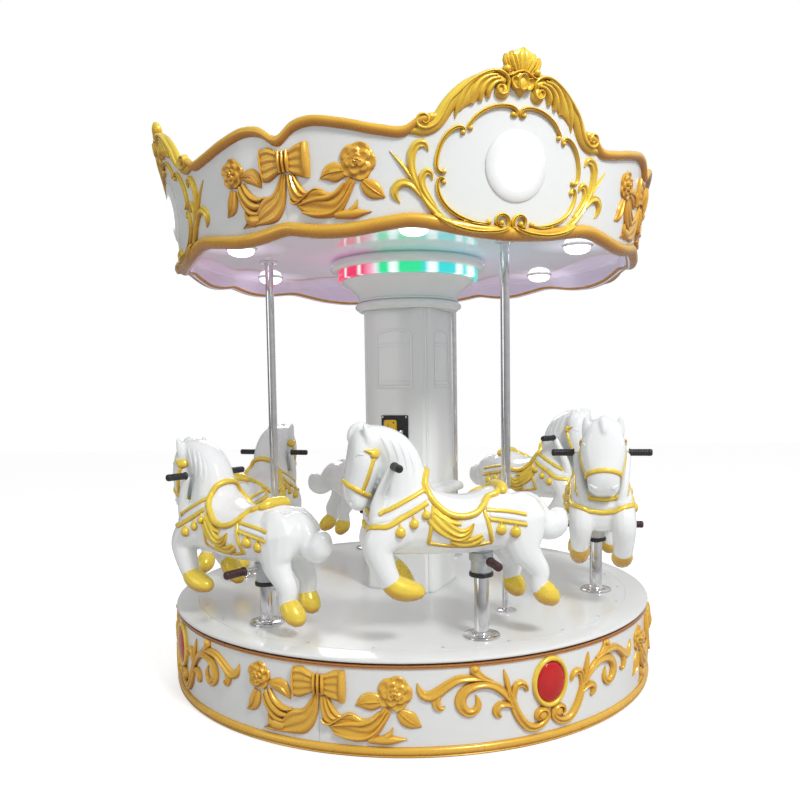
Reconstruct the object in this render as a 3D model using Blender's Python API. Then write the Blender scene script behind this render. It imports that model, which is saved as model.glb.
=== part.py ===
"""Small fairground carousel with six galloping horses on a turntable.

A drum-shaped base stands on the floor. The turntable above it carries the square
column, three support poles, the six horses on rise-and-fall posts and the round
canopy with its scalloped crown. Units are metres, +Z is up, the origin lies on the
floor at the turning axis, and the front of the carousel faces -Y.
"""
import bpy
import bmesh
from math import cos, degrees, hypot, pi, radians, sin
from mathutils import Matrix, Vector

# Driving dimensions
DECK_RADIUS = 1.100
DECK_TOP = 0.349
DECK_THICK = 0.016
RUNNING_GAP = 0.005
SEAT_GAP = 0.0003
EDGE_GAP = 0.0008
ROUND_STEPS = 60
SEAM = 0.02

SKIRT_RADIUS = 1.092
SKIRT_THICK = 0.012
RIM_HEIGHT = 0.036
TOP_RIM_HEIGHT = 0.014
FLOOR_RADIUS = 1.078
FLOOR_THICK = 0.020
SKIRT_SEAM = -18.0
GEM_ANGLE = 27.0
GEM_HEIGHT = 0.220
GEM_HALF_WIDTH = 0.078
GEM_HALF_HEIGHT = 0.090
# The two roses on each skirt panel: degrees from the front and height of the middle
ROSES = ((-3.2, 0.232), (58.7, 0.245))
ROSE_RADIUS = 0.036
ROSE_DEPTH = 0.0265

COLUMN_TURN = -24.0
COLUMN_HALF = 0.168
COLUMN_CUT = 0.034
COLUMN_TOP = 1.655
LEDGE_HEIGHT = 0.800
CAPITAL_TOP = 1.800
BAND_TOP = 1.840
PLATE_WIDTH = 0.134
PLATE_HEIGHT = 0.160
PLATE_THICK = 0.006
PLATE_TOP = 1.169
CEILING_LOW = 1.887
CEILING_THICK = 0.020

WALL_RADIUS = 1.028
WALL_RADIUS_HEIGHT = 1.850
WALL_FLARE = 0.17
WALL_THICK = 0.012
CARTOUCHE_ANGLE = 20.6
LAMP_ANGLE = 21.1
LAMP_HEIGHT = 2.048
LAMP_RADIUS = 0.118
LAMP_THICK = 0.014
TOP_ROLL = 0.018
BOTTOM_ROLL = 0.024

POLE_RING = 0.650
POLE_RADIUS = 0.019
POLE_ANGLES = {"right": 37.7, "left": -82.3, "back": 157.7}

HORSE_RING = 0.880
POST_OFFSET = -0.080
POST_RADIUS = 0.028
POST_TOP = 0.645
SLEEVE_BORE = 0.0288
SLEEVE_RADIUS = 0.040
SLEEVE_LOW = 0.581
SLEEVE_TOP = 0.740
PEG_HEIGHT = 0.658
GRIP_FORWARD = 0.268
GRIP_HEIGHT = 1.015
GRIP_SPAN = 0.410
BAR_RADIUS = 0.006

# Where each horse stands on the ring, how high it is on its post, and how far it is
# turned out from the ring's own direction
HORSE_PLACES = {
    "front": (12.0, 0.0, 0.0),
    "right": (72.0, 0.0, 8.0),
    "back_right": (132.0, 0.010, 0.0),
    "back": (192.0, -0.020, 0.0),
    "back_left": (252.0, -0.060, 0.0),
    "left": (312.0, -0.075, 12.0),
}

# Crown outline over an eighth of a turn: degrees from the middle of a cartouche,
# top edge of the wall's upper roll, and middle of its lower roll
CROWN_OUTLINE = (
    (0.0, 2.351, 1.824),
    (4.0, 2.346, 1.827),
    (7.0, 2.334, 1.831),
    (9.0, 2.311, 1.835),
    (11.0, 2.276, 1.840),
    (13.5, 2.225, 1.848),
    (15.5, 2.201, 1.854),
    (18.3, 2.191, 1.861),
    (20.8, 2.161, 1.862),
    (25.5, 2.168, 1.851),
    (32.0, 2.195, 1.836),
    (38.0, 2.213, 1.838),
    (41.5, 2.201, 1.847),
    (45.0, 2.163, 1.856),
)
FINIAL_OUTLINE = (
    (-0.085, 2.333), (-0.070, 2.341), (-0.062, 2.353), (-0.064, 2.371), (-0.058, 2.389), (-0.044, 2.400),
    (-0.020, 2.411), (0.0, 2.422), (0.020, 2.411), (0.044, 2.400), (0.058, 2.389), (0.064, 2.371),
    (0.062, 2.353), (0.070, 2.341), (0.085, 2.333),
)

QUARTERS = ("front_right", "back_right", "back_left", "front_left")


def clear_scene():
    for item in list(bpy.data.objects):
        bpy.data.objects.remove(item, do_unlink=True)


def finish_of(name, color, roughness, metallic=0.0):
    material = bpy.data.materials.get(name)
    if material is None:
        material = bpy.data.materials.new(name)
        material.use_nodes = True
        shader = material.node_tree.nodes["Principled BSDF"]
        shader.inputs["Base Color"].default_value = (*color, 1.0)
        shader.inputs["Roughness"].default_value = roughness
        shader.inputs["Metallic"].default_value = metallic
    return material


def white_shell():
    return finish_of("white_gelcoat", (0.86, 0.88, 0.87), 0.18)


def gold_paint():
    return finish_of("gold_paint", (0.83, 0.58, 0.10), 0.28, 0.35)


def chrome():
    return finish_of("chrome_tube", (0.80, 0.80, 0.82), 0.10, 1.0)


def grey_steel():
    return finish_of("grey_steel", (0.62, 0.64, 0.65), 0.35, 0.6)


def black_grip():
    return finish_of("black_grip", (0.02, 0.02, 0.025), 0.45)


def polar(radius, degrees, height):
    """A point at an angle counted from the front towards the right."""
    turn = radians(degrees)
    return Vector((radius * sin(turn), -radius * cos(turn), height))


def round_angles(steps):
    return [360.0 * step / steps for step in range(steps)]


def crown_angles():
    """The angles of the crown's outline all the way round, four times the same."""
    half = [row[0] for row in CROWN_OUTLINE]
    quarter = [-phase for phase in half[:0:-1]] + half[:-1]
    return [CARTOUCHE_ANGLE + 90.0 * turn + phase for turn in range(4) for phase in quarter]


def crown_heights(degrees):
    """Top edge and lower roll's middle at one of the crown's own angles."""
    phase = abs((degrees - CARTOUCHE_ANGLE + 45.0) % 90.0 - 45.0)
    row = min(CROWN_OUTLINE, key=lambda entry: abs(entry[0] - phase))
    return row[1], row[2]


def wall_radius(height):
    return WALL_RADIUS + WALL_FLARE * (height - WALL_RADIUS_HEIGHT)


def mesh_from_rings(name, rings, loop=False):
    """A closed skin over rings of points, capped at both ends unless it runs in a loop."""
    bm = bmesh.new()
    rows = [[bm.verts.new(point) for point in ring] for ring in rings]
    count = len(rings[0])
    pairs = list(zip(rows, rows[1:]))
    if loop:
        pairs.append((rows[-1], rows[0]))
    for low, high in pairs:
        for k in range(count):
            nxt = (k + 1) % count
            bm.faces.new((low[k], low[nxt], high[nxt], high[k]))
    if not loop:
        bm.faces.new(rows[0])
        bm.faces.new(rows[-1])
    bmesh.ops.recalc_face_normals(bm, faces=bm.faces)
    mesh = bpy.data.meshes.new(name)
    bm.to_mesh(mesh)
    bm.free()
    return mesh


def place(name, mesh, material, location=(0.0, 0.0, 0.0), turn=0.0, smooth=True):
    """Puts a mesh into the scene as one named sub-part."""
    if not mesh.materials:
        mesh.materials.append(material)
        if smooth:
            mesh.shade_smooth()
            mesh.set_sharp_from_angle(angle=radians(35.0))
    item = bpy.data.objects.new(name, mesh)
    bpy.context.scene.collection.objects.link(item)
    item.location = location
    item.rotation_euler = (0.0, 0.0, radians(turn))
    return item


def combine(name, meshes, operation="UNION"):
    """One mesh from the first one and the others, joined to it or cut from it."""
    base = bpy.data.objects.new(name, meshes[0])
    bpy.context.scene.collection.objects.link(base)
    helpers = []
    for mesh in meshes[1:]:
        helper = bpy.data.objects.new(name + "_cutter", mesh)
        bpy.context.scene.collection.objects.link(helper)
        helper.hide_render = True
        helper.display_type = "WIRE"
        helpers.append(helper)
        modifier = base.modifiers.new("shape", "BOOLEAN")
        modifier.operation = operation
        modifier.solver = "EXACT"
        modifier.object = helper
    depsgraph = bpy.context.evaluated_depsgraph_get()
    result = bpy.data.meshes.new_from_object(base.evaluated_get(depsgraph))
    result.name = name
    for item in [base] + helpers:
        bpy.data.objects.remove(item, do_unlink=True)
    return result


def turned_ring(name, section, angles):
    """A closed ring whose section, radius and height pairs, is the same all round."""
    return mesh_from_rings(name, [[polar(r, a, z) for r, z in section] for a in angles], loop=True)


def turned_solid(name, profile, steps, centre=(0.0, 0.0)):
    """A solid turned about an upright axis, from radius and height pairs going up."""
    shift = Vector((*centre, 0.0))
    rings = []
    for radius, height in profile:
        rings.append([polar(radius, a, height) + shift for a in round_angles(steps)])
    return mesh_from_rings(name, rings)


def arc_angles(start, span, steps):
    """Angles along part of a turn, its ends drawn in by half a seam."""
    return [start + SEAM + (span - 2 * SEAM) * step / steps for step in range(steps + 1)]


def rose_mesh(angle, height):
    """Low boss of a rose moulded on a skirt panel, rooted inside the panel."""
    rings = []
    for size, depth in ((1.0, -0.004), (0.97, 0.45 * ROSE_DEPTH), (0.55, ROSE_DEPTH)):
        ring = []
        for k in range(8):
            turn = 2 * pi * (k + 0.5) / 8
            across = size * ROSE_RADIUS * cos(turn) / SKIRT_RADIUS
            ring.append(polar(SKIRT_RADIUS + depth, angle + degrees(across), height + size * ROSE_RADIUS * sin(turn)))
        rings.append(ring)
    return mesh_from_rings("rose", rings)


def make_base():
    """The fixed drum: floor plate, gold rims, four skirt panels and four red gems."""
    angles = round_angles(ROUND_STEPS)
    steel = finish_of("dark_steel", (0.12, 0.12, 0.13), 0.6, 0.5)
    floor_mesh = mesh_from_rings("base_floor", [[polar(FLOOR_RADIUS, a, z) for a in angles]
                                                for z in (0.0, FLOOR_THICK)])
    place("base_floor", floor_mesh, steel)
    inner = FLOOR_RADIUS + SEAT_GAP
    rim = ((inner, 0.0), (SKIRT_RADIUS + 0.009, 0.0), (SKIRT_RADIUS + 0.014, 0.014),
           (SKIRT_RADIUS + 0.006, RIM_HEIGHT), (inner, RIM_HEIGHT))
    place("base_bottom_rim", turned_ring("base_bottom_rim", rim, angles), gold_paint())
    deck_under = DECK_TOP - DECK_THICK
    rim_top = deck_under - RUNNING_GAP
    rim_low = rim_top - TOP_RIM_HEIGHT
    skirt_inner = SKIRT_RADIUS - SKIRT_THICK
    top_rim = ((skirt_inner, rim_low), (SKIRT_RADIUS + 0.005, rim_low), (SKIRT_RADIUS + 0.005, rim_top),
               (skirt_inner, rim_top))
    place("base_top_rim", turned_ring("base_top_rim", top_rim, angles), gold_paint())
    low = RIM_HEIGHT + SEAT_GAP
    high = rim_low - SEAT_GAP
    section = ((SKIRT_RADIUS, low), (SKIRT_RADIUS, high), (skirt_inner, high), (skirt_inner, low))
    steps = ROUND_STEPS // 4
    for index, quarter in enumerate(QUARTERS):
        panel = arc_angles(SKIRT_SEAM + 90.0 * index, 90.0, steps)
        rings = [[polar(r, a, z) for r, z in section] for a in panel]
        name = "base_skirt_" + quarter
        roses = [rose_mesh(angle + 90.0 * index, height) for angle, height in ROSES]
        place(name, combine(name, [mesh_from_rings(name, rings)] + roses), white_shell())
    bearing = ((0.220, FLOOR_THICK + SEAT_GAP), (0.220, 0.040), (0.150, 0.050), (0.150, 0.295),
               (0.190, 0.300), (0.190, deck_under - SEAT_GAP))
    place("centre_bearing", turned_solid("centre_bearing", bearing, 24), steel)


def make_gems():
    """Oval red gems in gold settings, one on each skirt panel."""
    red = finish_of("red_gem", (0.55, 0.01, 0.015), 0.12)
    steps = 16
    layers = ((1.00, 0.0), (1.00, 0.008), (0.70, 0.016), (0.30, 0.021))
    rings = []
    for size, depth in layers:
        ring = []
        for k in range(steps):
            turn = 2 * pi * k / steps
            width = GEM_HALF_WIDTH * size
            height = GEM_HALF_HEIGHT * size
            ring.append(Vector((width * cos(turn), -depth, height * sin(turn))))
        rings.append(ring)
    mesh = mesh_from_rings("base_gem", rings)
    half_facet = 180.0 / ROUND_STEPS
    reach = SKIRT_RADIUS * cos(radians(half_facet)) + SEAT_GAP
    for index, quarter in enumerate(QUARTERS):
        angle = GEM_ANGLE + 90.0 * index
        place("base_gem_" + quarter, mesh, red, polar(reach, angle, GEM_HEIGHT), angle)


def make_deck():
    """The turning platform that everything above stands on."""
    under = DECK_TOP - DECK_THICK
    profile = ((DECK_RADIUS - 0.004, under), (DECK_RADIUS, under + 0.004), (DECK_RADIUS, DECK_TOP - 0.004),
               (DECK_RADIUS - 0.004, DECK_TOP))
    place("deck", turned_solid("deck", profile, ROUND_STEPS), white_shell())


def column_ring(half, height):
    """Outline of the square column with its corners cut, at one height."""
    near = half - COLUMN_CUT
    corners = ((half, -near), (half, near), (near, half), (-near, half),
               (-half, near), (-half, -near), (-near, -half), (near, -half))
    return [Vector((x, y, height)) for x, y in corners]


def make_column():
    """Square column with a ledge, its turned capital, the lit band and the upper lip."""
    plinth = COLUMN_HALF + 0.008
    ledge = COLUMN_HALF + 0.040
    stack = ((plinth, DECK_TOP + SEAT_GAP), (plinth, LEDGE_HEIGHT - 0.010), (ledge - 0.004, LEDGE_HEIGHT),
             (ledge, LEDGE_HEIGHT + 0.018), (ledge - 0.006, LEDGE_HEIGHT + 0.034),
             (COLUMN_HALF, LEDGE_HEIGHT + 0.046), (COLUMN_HALF, COLUMN_TOP))
    rings = [column_ring(half, height) for half, height in stack]
    place("column", mesh_from_rings("column", rings), white_shell(), turn=COLUMN_TURN, smooth=False)
    low = COLUMN_TOP + SEAT_GAP
    capital = ((0.234, low), (0.252, low + 0.012), (0.252, low + 0.032), (0.236, low + 0.044),
               (0.240, low + 0.062), (0.262, low + 0.092), (0.310, low + 0.130),
               (0.314, CAPITAL_TOP - SEAT_GAP))
    place("column_capital", turned_solid("column_capital", capital, 32), white_shell())
    band = ((0.330, CAPITAL_TOP), (0.330, BAND_TOP - SEAT_GAP))
    glow = finish_of("lit_band", (0.55, 0.95, 0.92), 0.3)
    place("light_band", turned_solid("light_band", band, 32), glow)
    lip = ((0.346, BAND_TOP), (0.369, BAND_TOP + 0.014), (0.368, BAND_TOP + 0.034),
           (0.352, CEILING_LOW - SEAT_GAP))
    place("column_lip", turned_solid("column_lip", lip, 32), white_shell())


def make_coin_plate():
    """Black control plate screwed to the column's front face."""
    black = finish_of("black_plate", (0.015, 0.015, 0.018), 0.35)
    back = -COLUMN_HALF - SEAT_GAP
    bevel = 0.001
    rings = []
    for y, inset in ((back, 0.0), (back - PLATE_THICK + bevel, 0.0), (back - PLATE_THICK, bevel)):
        x = PLATE_WIDTH / 2 - inset
        low = PLATE_TOP - PLATE_HEIGHT + inset
        high = PLATE_TOP - inset
        rings.append([Vector((-x, y, low)), Vector((x, y, low)), Vector((x, y, high)), Vector((-x, y, high))])
    place("coin_plate", mesh_from_rings("coin_plate", rings), black, turn=COLUMN_TURN, smooth=False)


def make_poles():
    """Three bright tubes with end flanges, from the deck to the ceiling."""
    low = DECK_TOP + SEAT_GAP
    high = CEILING_LOW - SEAT_GAP
    profile = ((0.042, low), (0.042, low + 0.006), (POLE_RADIUS, low + 0.009),
               (POLE_RADIUS, high - 0.009), (0.042, high - 0.006), (0.042, high))
    mesh = turned_solid("support_pole", profile, 12)
    for side, angle in POLE_ANGLES.items():
        place("support_pole_" + side, mesh, chrome(), polar(POLE_RING, angle, 0.0))


def make_ceiling():
    """Round ceiling panel inside the foot of the crown."""
    edge = wall_radius(CEILING_LOW) - WALL_THICK - EDGE_GAP
    rings = [[polar(edge, a, z) for a in crown_angles()] for z in (CEILING_LOW, CEILING_LOW + CEILING_THICK)]
    place("canopy_ceiling", mesh_from_rings("canopy_ceiling", rings), white_shell())


def make_crown_walls():
    """Four flared wall panels, each a cartouche hump between two half bays."""
    angles = crown_angles()
    per_quarter = len(angles) // 4
    for index, quarter in enumerate(QUARTERS):
        start = index * per_quarter
        panel = [angles[k % len(angles)] for k in range(start, start + per_quarter + 1)]
        panel = [a + 360.0 if a < panel[0] - 1.0 else a for a in panel]
        rings = []
        for k, a in enumerate(panel):
            top, low = crown_heights(a)
            top -= 2 * TOP_ROLL + EDGE_GAP
            low += BOTTOM_ROLL + EDGE_GAP
            if k == 0:
                a += SEAM
            elif k == len(panel) - 1:
                a -= SEAM
            rings.append([polar(wall_radius(z) - inset, a, z)
                          for z, inset in ((top, 0.0), (top, WALL_THICK), (low, WALL_THICK), (low, 0.0))])
        place("crown_wall_" + quarter, mesh_from_rings("crown_wall_" + quarter, rings), white_shell())


def finial_mesh(index):
    """Shell-shaped finial standing on the upper roll over one cartouche."""
    angle = CARTOUCHE_ANGLE + 90.0 * index
    turn = Matrix.Rotation(radians(angle), 3, "Z")
    rings = []
    for depth in (-0.017, 0.015):
        rings.append([turn @ Vector((x, -wall_radius(z) - depth + 0.002, z)) for x, z in FINIAL_OUTLINE])
    return mesh_from_rings("finial", rings)


def make_crown_rolls():
    """Gold rolls along the crown's upper and lower edges."""
    upper_section = ((-0.017, -TOP_ROLL), (0.012, -TOP_ROLL), (0.021, 0.0), (0.012, TOP_ROLL),
                     (-0.016, TOP_ROLL), (-0.022, 0.0))
    lower_section = ((-0.019, -BOTTOM_ROLL), (0.012, -BOTTOM_ROLL), (0.024, 0.0), (0.013, BOTTOM_ROLL),
                     (-0.019, BOTTOM_ROLL), (-0.028, 0.0))
    upper = []
    lower = []
    for a in crown_angles():
        top, low = crown_heights(a)
        high = top - TOP_ROLL
        upper.append([polar(wall_radius(high) + dr, a, high + dz) for dr, dz in upper_section])
        lower.append([polar(wall_radius(low) + dr, a, low + dz) for dr, dz in lower_section])
    roll = mesh_from_rings("crown_top_roll", upper, loop=True)
    roll = combine("crown_top_roll", [roll] + [finial_mesh(index) for index in range(4)])
    place("crown_top_roll", roll, gold_paint())
    place("crown_bottom_roll", mesh_from_rings("crown_bottom_roll", lower, loop=True), gold_paint())


def make_crown_lamps():
    """Round lamps in the middle of the four cartouches, leaning with the wall."""
    steps = 20
    rings = []
    for radius, depth in ((LAMP_RADIUS, 0.0), (0.95 * LAMP_RADIUS, LAMP_THICK)):
        rings.append([Vector((radius * cos(2 * pi * k / steps), -depth, radius * sin(2 * pi * k / steps)))
                      for k in range(steps)])
    mesh = mesh_from_rings("crown_lamp", rings)
    lean = 1.0 / hypot(1.0, WALL_FLARE)
    mesh.transform(Matrix(((1.0, 0.0, 0.0, 0.0), (0.0, lean, -WALL_FLARE * lean, 0.0),
                           (0.0, WALL_FLARE * lean, lean, 0.0), (0.0, 0.0, 0.0, 1.0))))
    lamp = finish_of("lamp_disc", (0.95, 0.95, 0.97), 0.2)
    reach = wall_radius(LAMP_HEIGHT) + SEAT_GAP
    for index, quarter in enumerate(QUARTERS):
        angle = LAMP_ANGLE + 90.0 * index
        place("crown_lamp_" + quarter, mesh, lamp, polar(reach, angle, LAMP_HEIGHT), angle)


def oval(forward, height, lean, thick, wide, sides, side=0.0):
    """Ring of points across the horse: lean is the angle of its longer way in the side view."""
    tilt = radians(lean)
    ring = []
    for k in range(sides):
        turn = 2 * pi * (k + 0.5) / sides
        along = thick * cos(turn)
        across = side + wide * sin(turn)
        ring.append(Vector((-(forward + along * cos(tilt)), across, height + along * sin(tilt))))
    return ring


def span_oval(front, back, wide, sides):
    """Ring of points between a front and a back point of the side view."""
    forward = (front[0] + back[0]) / 2
    height = (front[1] + back[1]) / 2
    reach = Vector((front[0] - back[0], front[1] - back[1]))
    ring = []
    for k in range(sides):
        turn = 2 * pi * (k + 0.5) / sides
        along = 0.5 * cos(turn)
        ring.append(Vector((-(forward + along * reach.x), wide * sin(turn), height + along * reach.y)))
    return ring


def horse_trunk():
    """Barrel with the dipped saddle between pommel and cantle."""
    rows = (
        (0.342, 0.740, 0.806, 0.050), (0.318, 0.696, 0.892, 0.100), (0.155, 0.678, 0.968, 0.122),
        (0.085, 0.676, 0.912, 0.134), (-0.005, 0.675, 0.894, 0.139), (-0.125, 0.680, 0.922, 0.130),
        (-0.170, 0.684, 0.910, 0.127), (-0.206, 0.688, 0.881, 0.124), (-0.262, 0.708, 0.892, 0.112),
        (-0.312, 0.748, 0.848, 0.068),
    )
    return mesh_from_rings("trunk", [span_oval((s, high), (s, low), wide, 10) for s, low, high, wide in rows])


def horse_neck():
    rows = (
        ((0.334, 0.765), (0.080, 0.860), 0.098), ((0.330, 0.850), (0.122, 0.950), 0.094),
        ((0.318, 0.930), (0.145, 1.020), 0.085), ((0.314, 0.985), (0.165, 1.072), 0.078),
        ((0.335, 1.040), (0.225, 1.130), 0.072), ((0.372, 1.075), (0.312, 1.158), 0.062),
    )
    return mesh_from_rings("neck", [span_oval(front, back, wide, 8) for front, back, wide in rows])


def horse_head():
    rows = (
        ((0.390, 1.150), (0.326, 1.138), 0.050), ((0.411, 1.100), (0.300, 1.060), 0.080),
        ((0.425, 1.030), (0.300, 0.985), 0.088), ((0.437, 0.955), (0.332, 0.914), 0.068),
        ((0.434, 0.900), (0.346, 0.880), 0.061), ((0.412, 0.860), (0.364, 0.852), 0.044),
    )
    return mesh_from_rings("head", [span_oval(front, back, wide, 8) for front, back, wide in rows])


def horse_limb(name, rows, side, sides=5):
    rings = [oval(s, z, lean, thick, wide, sides, side) for s, z, lean, thick, wide in rows]
    return mesh_from_rings(name, rings)


def horse_parts():
    """All the bodies that make up one horse moulding."""
    outer = -0.080
    inner = 0.080
    fore_low = ((0.230, 0.790, 50.0, 0.080, 0.056), (0.318, 0.735, 20.0, 0.058, 0.050),
                (0.308, 0.672, -12.0, 0.048, 0.046), (0.284, 0.604, -40.0, 0.040, 0.040),
                (0.236, 0.570, -68.0, 0.042, 0.042), (0.160, 0.558, -80.0, 0.034, 0.036))
    fore_folded = ((0.230, 0.790, 50.0, 0.080, 0.056), (0.312, 0.735, 15.0, 0.056, 0.050),
                   (0.298, 0.684, -20.0, 0.046, 0.044), (0.258, 0.634, -42.0, 0.040, 0.040),
                   (0.218, 0.592, -48.0, 0.042, 0.042), (0.172, 0.548, -45.0, 0.034, 0.036))
    hind_back = ((-0.210, 0.800, -20.0, 0.105, 0.050), (-0.215, 0.700, -10.0, 0.065, 0.042),
                 (-0.275, 0.620, -10.0, 0.036, 0.030), (-0.270, 0.560, -20.0, 0.030, 0.028),
                 (-0.320, 0.500, -30.0, 0.040, 0.036))
    hind_under = ((-0.200, 0.800, -20.0, 0.105, 0.050), (-0.190, 0.700, -10.0, 0.062, 0.042),
                  (-0.240, 0.620, -10.0, 0.036, 0.030), (-0.225, 0.560, -15.0, 0.030, 0.028),
                  (-0.240, 0.495, -30.0, 0.040, 0.036))
    tail = ((-0.225, 0.845, -90.0, 0.044, 0.044), (-0.268, 0.845, -65.0, 0.045, 0.044),
            (-0.298, 0.812, -30.0, 0.045, 0.044), (-0.314, 0.778, -30.0, 0.044, 0.044),
            (-0.342, 0.756, -75.0, 0.044, 0.046), (-0.380, 0.766, -130.0, 0.042, 0.046),
            (-0.394, 0.795, -165.0, 0.032, 0.036))
    bodies = [horse_trunk(), horse_neck(), horse_head(),
              horse_limb("fore_outer", fore_low, outer), horse_limb("fore_inner", fore_folded, inner),
              horse_limb("hind_outer", hind_back, outer), horse_limb("hind_inner", hind_under, inner),
              horse_limb("tail", tail, 0.0, 6)]
    for side in (-1.0, 1.0):
        ear = [oval(0.350, 1.100, 0.0, 0.028, 0.018, 4, side * 0.058),
               oval(0.369, 1.168, 0.0, 0.005, 0.004, 4, side * 0.066)]
        bodies.append(mesh_from_rings("ear", ear))
        arm = [oval(0.300, 0.868, -10.0, 0.026, 0.024, 6, side * 0.066),
               oval(GRIP_FORWARD, GRIP_HEIGHT + 0.014, -20.0, 0.022, 0.016, 6, side * 0.092)]
        bodies.append(mesh_from_rings("arm", arm))
    return bodies


def sideways_bar(name, forward, height, stations, sides):
    """A bar across the horse, from side offset and radius pairs."""
    rings = []
    for side, radius in stations:
        rings.append([Vector((-(forward + radius * cos(2 * pi * k / sides)), side,
                              height + radius * sin(2 * pi * k / sides))) for k in range(sides)])
    return mesh_from_rings(name, rings)


def horse_mesh():
    """One horse: joined bodies, the pocket for its sleeve and the hole for its handlebar."""
    shape = combine("horse", horse_parts())
    width = SLEEVE_RADIUS + SEAT_GAP
    pocket = turned_solid("pocket", ((width, 0.40), (width, SLEEVE_TOP + SEAT_GAP)), 16, (-POST_OFFSET, 0.0))
    width = BAR_RADIUS + 0.0005
    hole = sideways_bar("hole", GRIP_FORWARD, GRIP_HEIGHT, ((-0.3, width), (0.3, width)), 8)
    return combine("horse", [shape, pocket, hole], "DIFFERENCE")


def handlebar_mesh():
    """Steel bar through the neck with a round-ended grip at each end."""
    end = GRIP_SPAN / 2
    grip = 0.0145
    half = ((0.1095, BAR_RADIUS), (0.1100, grip), (end - 0.004, grip), (end, grip * 0.7))
    stations = [(-y, r) for y, r in reversed(half)] + list(half)
    return sideways_bar("handlebar", GRIP_FORWARD, GRIP_HEIGHT, stations, 8)


def sleeve_mesh():
    """Sliding sleeve under the belly, with its end collar and the two foot pegs."""
    centre = (-POST_OFFSET, 0.0)
    collar = SLEEVE_RADIUS + 0.006
    profile = ((collar, SLEEVE_LOW), (collar, SLEEVE_LOW + 0.016), (SLEEVE_RADIUS, SLEEVE_LOW + 0.020),
               (SLEEVE_RADIUS, SLEEVE_TOP))
    outer = turned_solid("sleeve", profile, 16, centre)
    rod = 0.008
    grip = 0.0165
    stations = ((-0.214, grip * 0.8), (-0.210, grip), (-0.1155, grip), (-0.115, rod),
                (0.115, rod), (0.1155, grip), (0.210, grip), (0.214, grip * 0.8))
    pegs = sideways_bar("pegs", POST_OFFSET, PEG_HEIGHT, stations, 8)
    whole = combine("sleeve", [outer, pegs])
    bore = turned_solid("bore", ((SLEEVE_BORE, 0.50), (SLEEVE_BORE, 0.80)), 16, centre)
    return combine("sleeve", [whole, bore], "DIFFERENCE")


def post_mesh():
    """Fixed post with its foot flange on the deck."""
    low = DECK_TOP + SEAT_GAP
    profile = ((0.070, low), (0.070, low + 0.010), (POST_RADIUS, low + 0.016), (POST_RADIUS, POST_TOP))
    return turned_solid("post", profile, 16, (-POST_OFFSET, 0.0))


def make_horses():
    """Six horses, each with its handlebar and sleeve, over a post on the deck."""
    horse = horse_mesh()
    handlebar = handlebar_mesh()
    sleeve = sleeve_mesh()
    post = post_mesh()
    for spot, (angle, lift, turned) in HORSE_PLACES.items():
        heading = angle + turned
        raised = polar(HORSE_RING, angle, lift)
        place("horse_" + spot, horse, white_shell(), raised, heading)
        place("handlebar_" + spot, handlebar, black_grip(), raised, heading)
        place("sleeve_" + spot, sleeve, grey_steel(), raised, heading)
        place("post_" + spot, post, chrome(), polar(HORSE_RING, angle, 0.0), heading)


clear_scene()
make_base()
make_gems()
make_deck()
make_column()
make_coin_plate()
make_poles()
make_ceiling()
make_crown_walls()
make_crown_rolls()
make_crown_lamps()
make_horses()
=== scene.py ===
"""Fairground carousel with six galloping horses, dressed for its pictures.

Units are metres, +Z is up, the front of the carousel faces -Y. Angles round the
carousel are degrees counted from the front towards the right.
"""

from math import atan2, ceil, cos, degrees, hypot, pi, radians, sin, sqrt

import bmesh
import bpy
import numpy as np
from mathutils import Matrix, Vector
from mathutils.bvhtree import BVHTree


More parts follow.
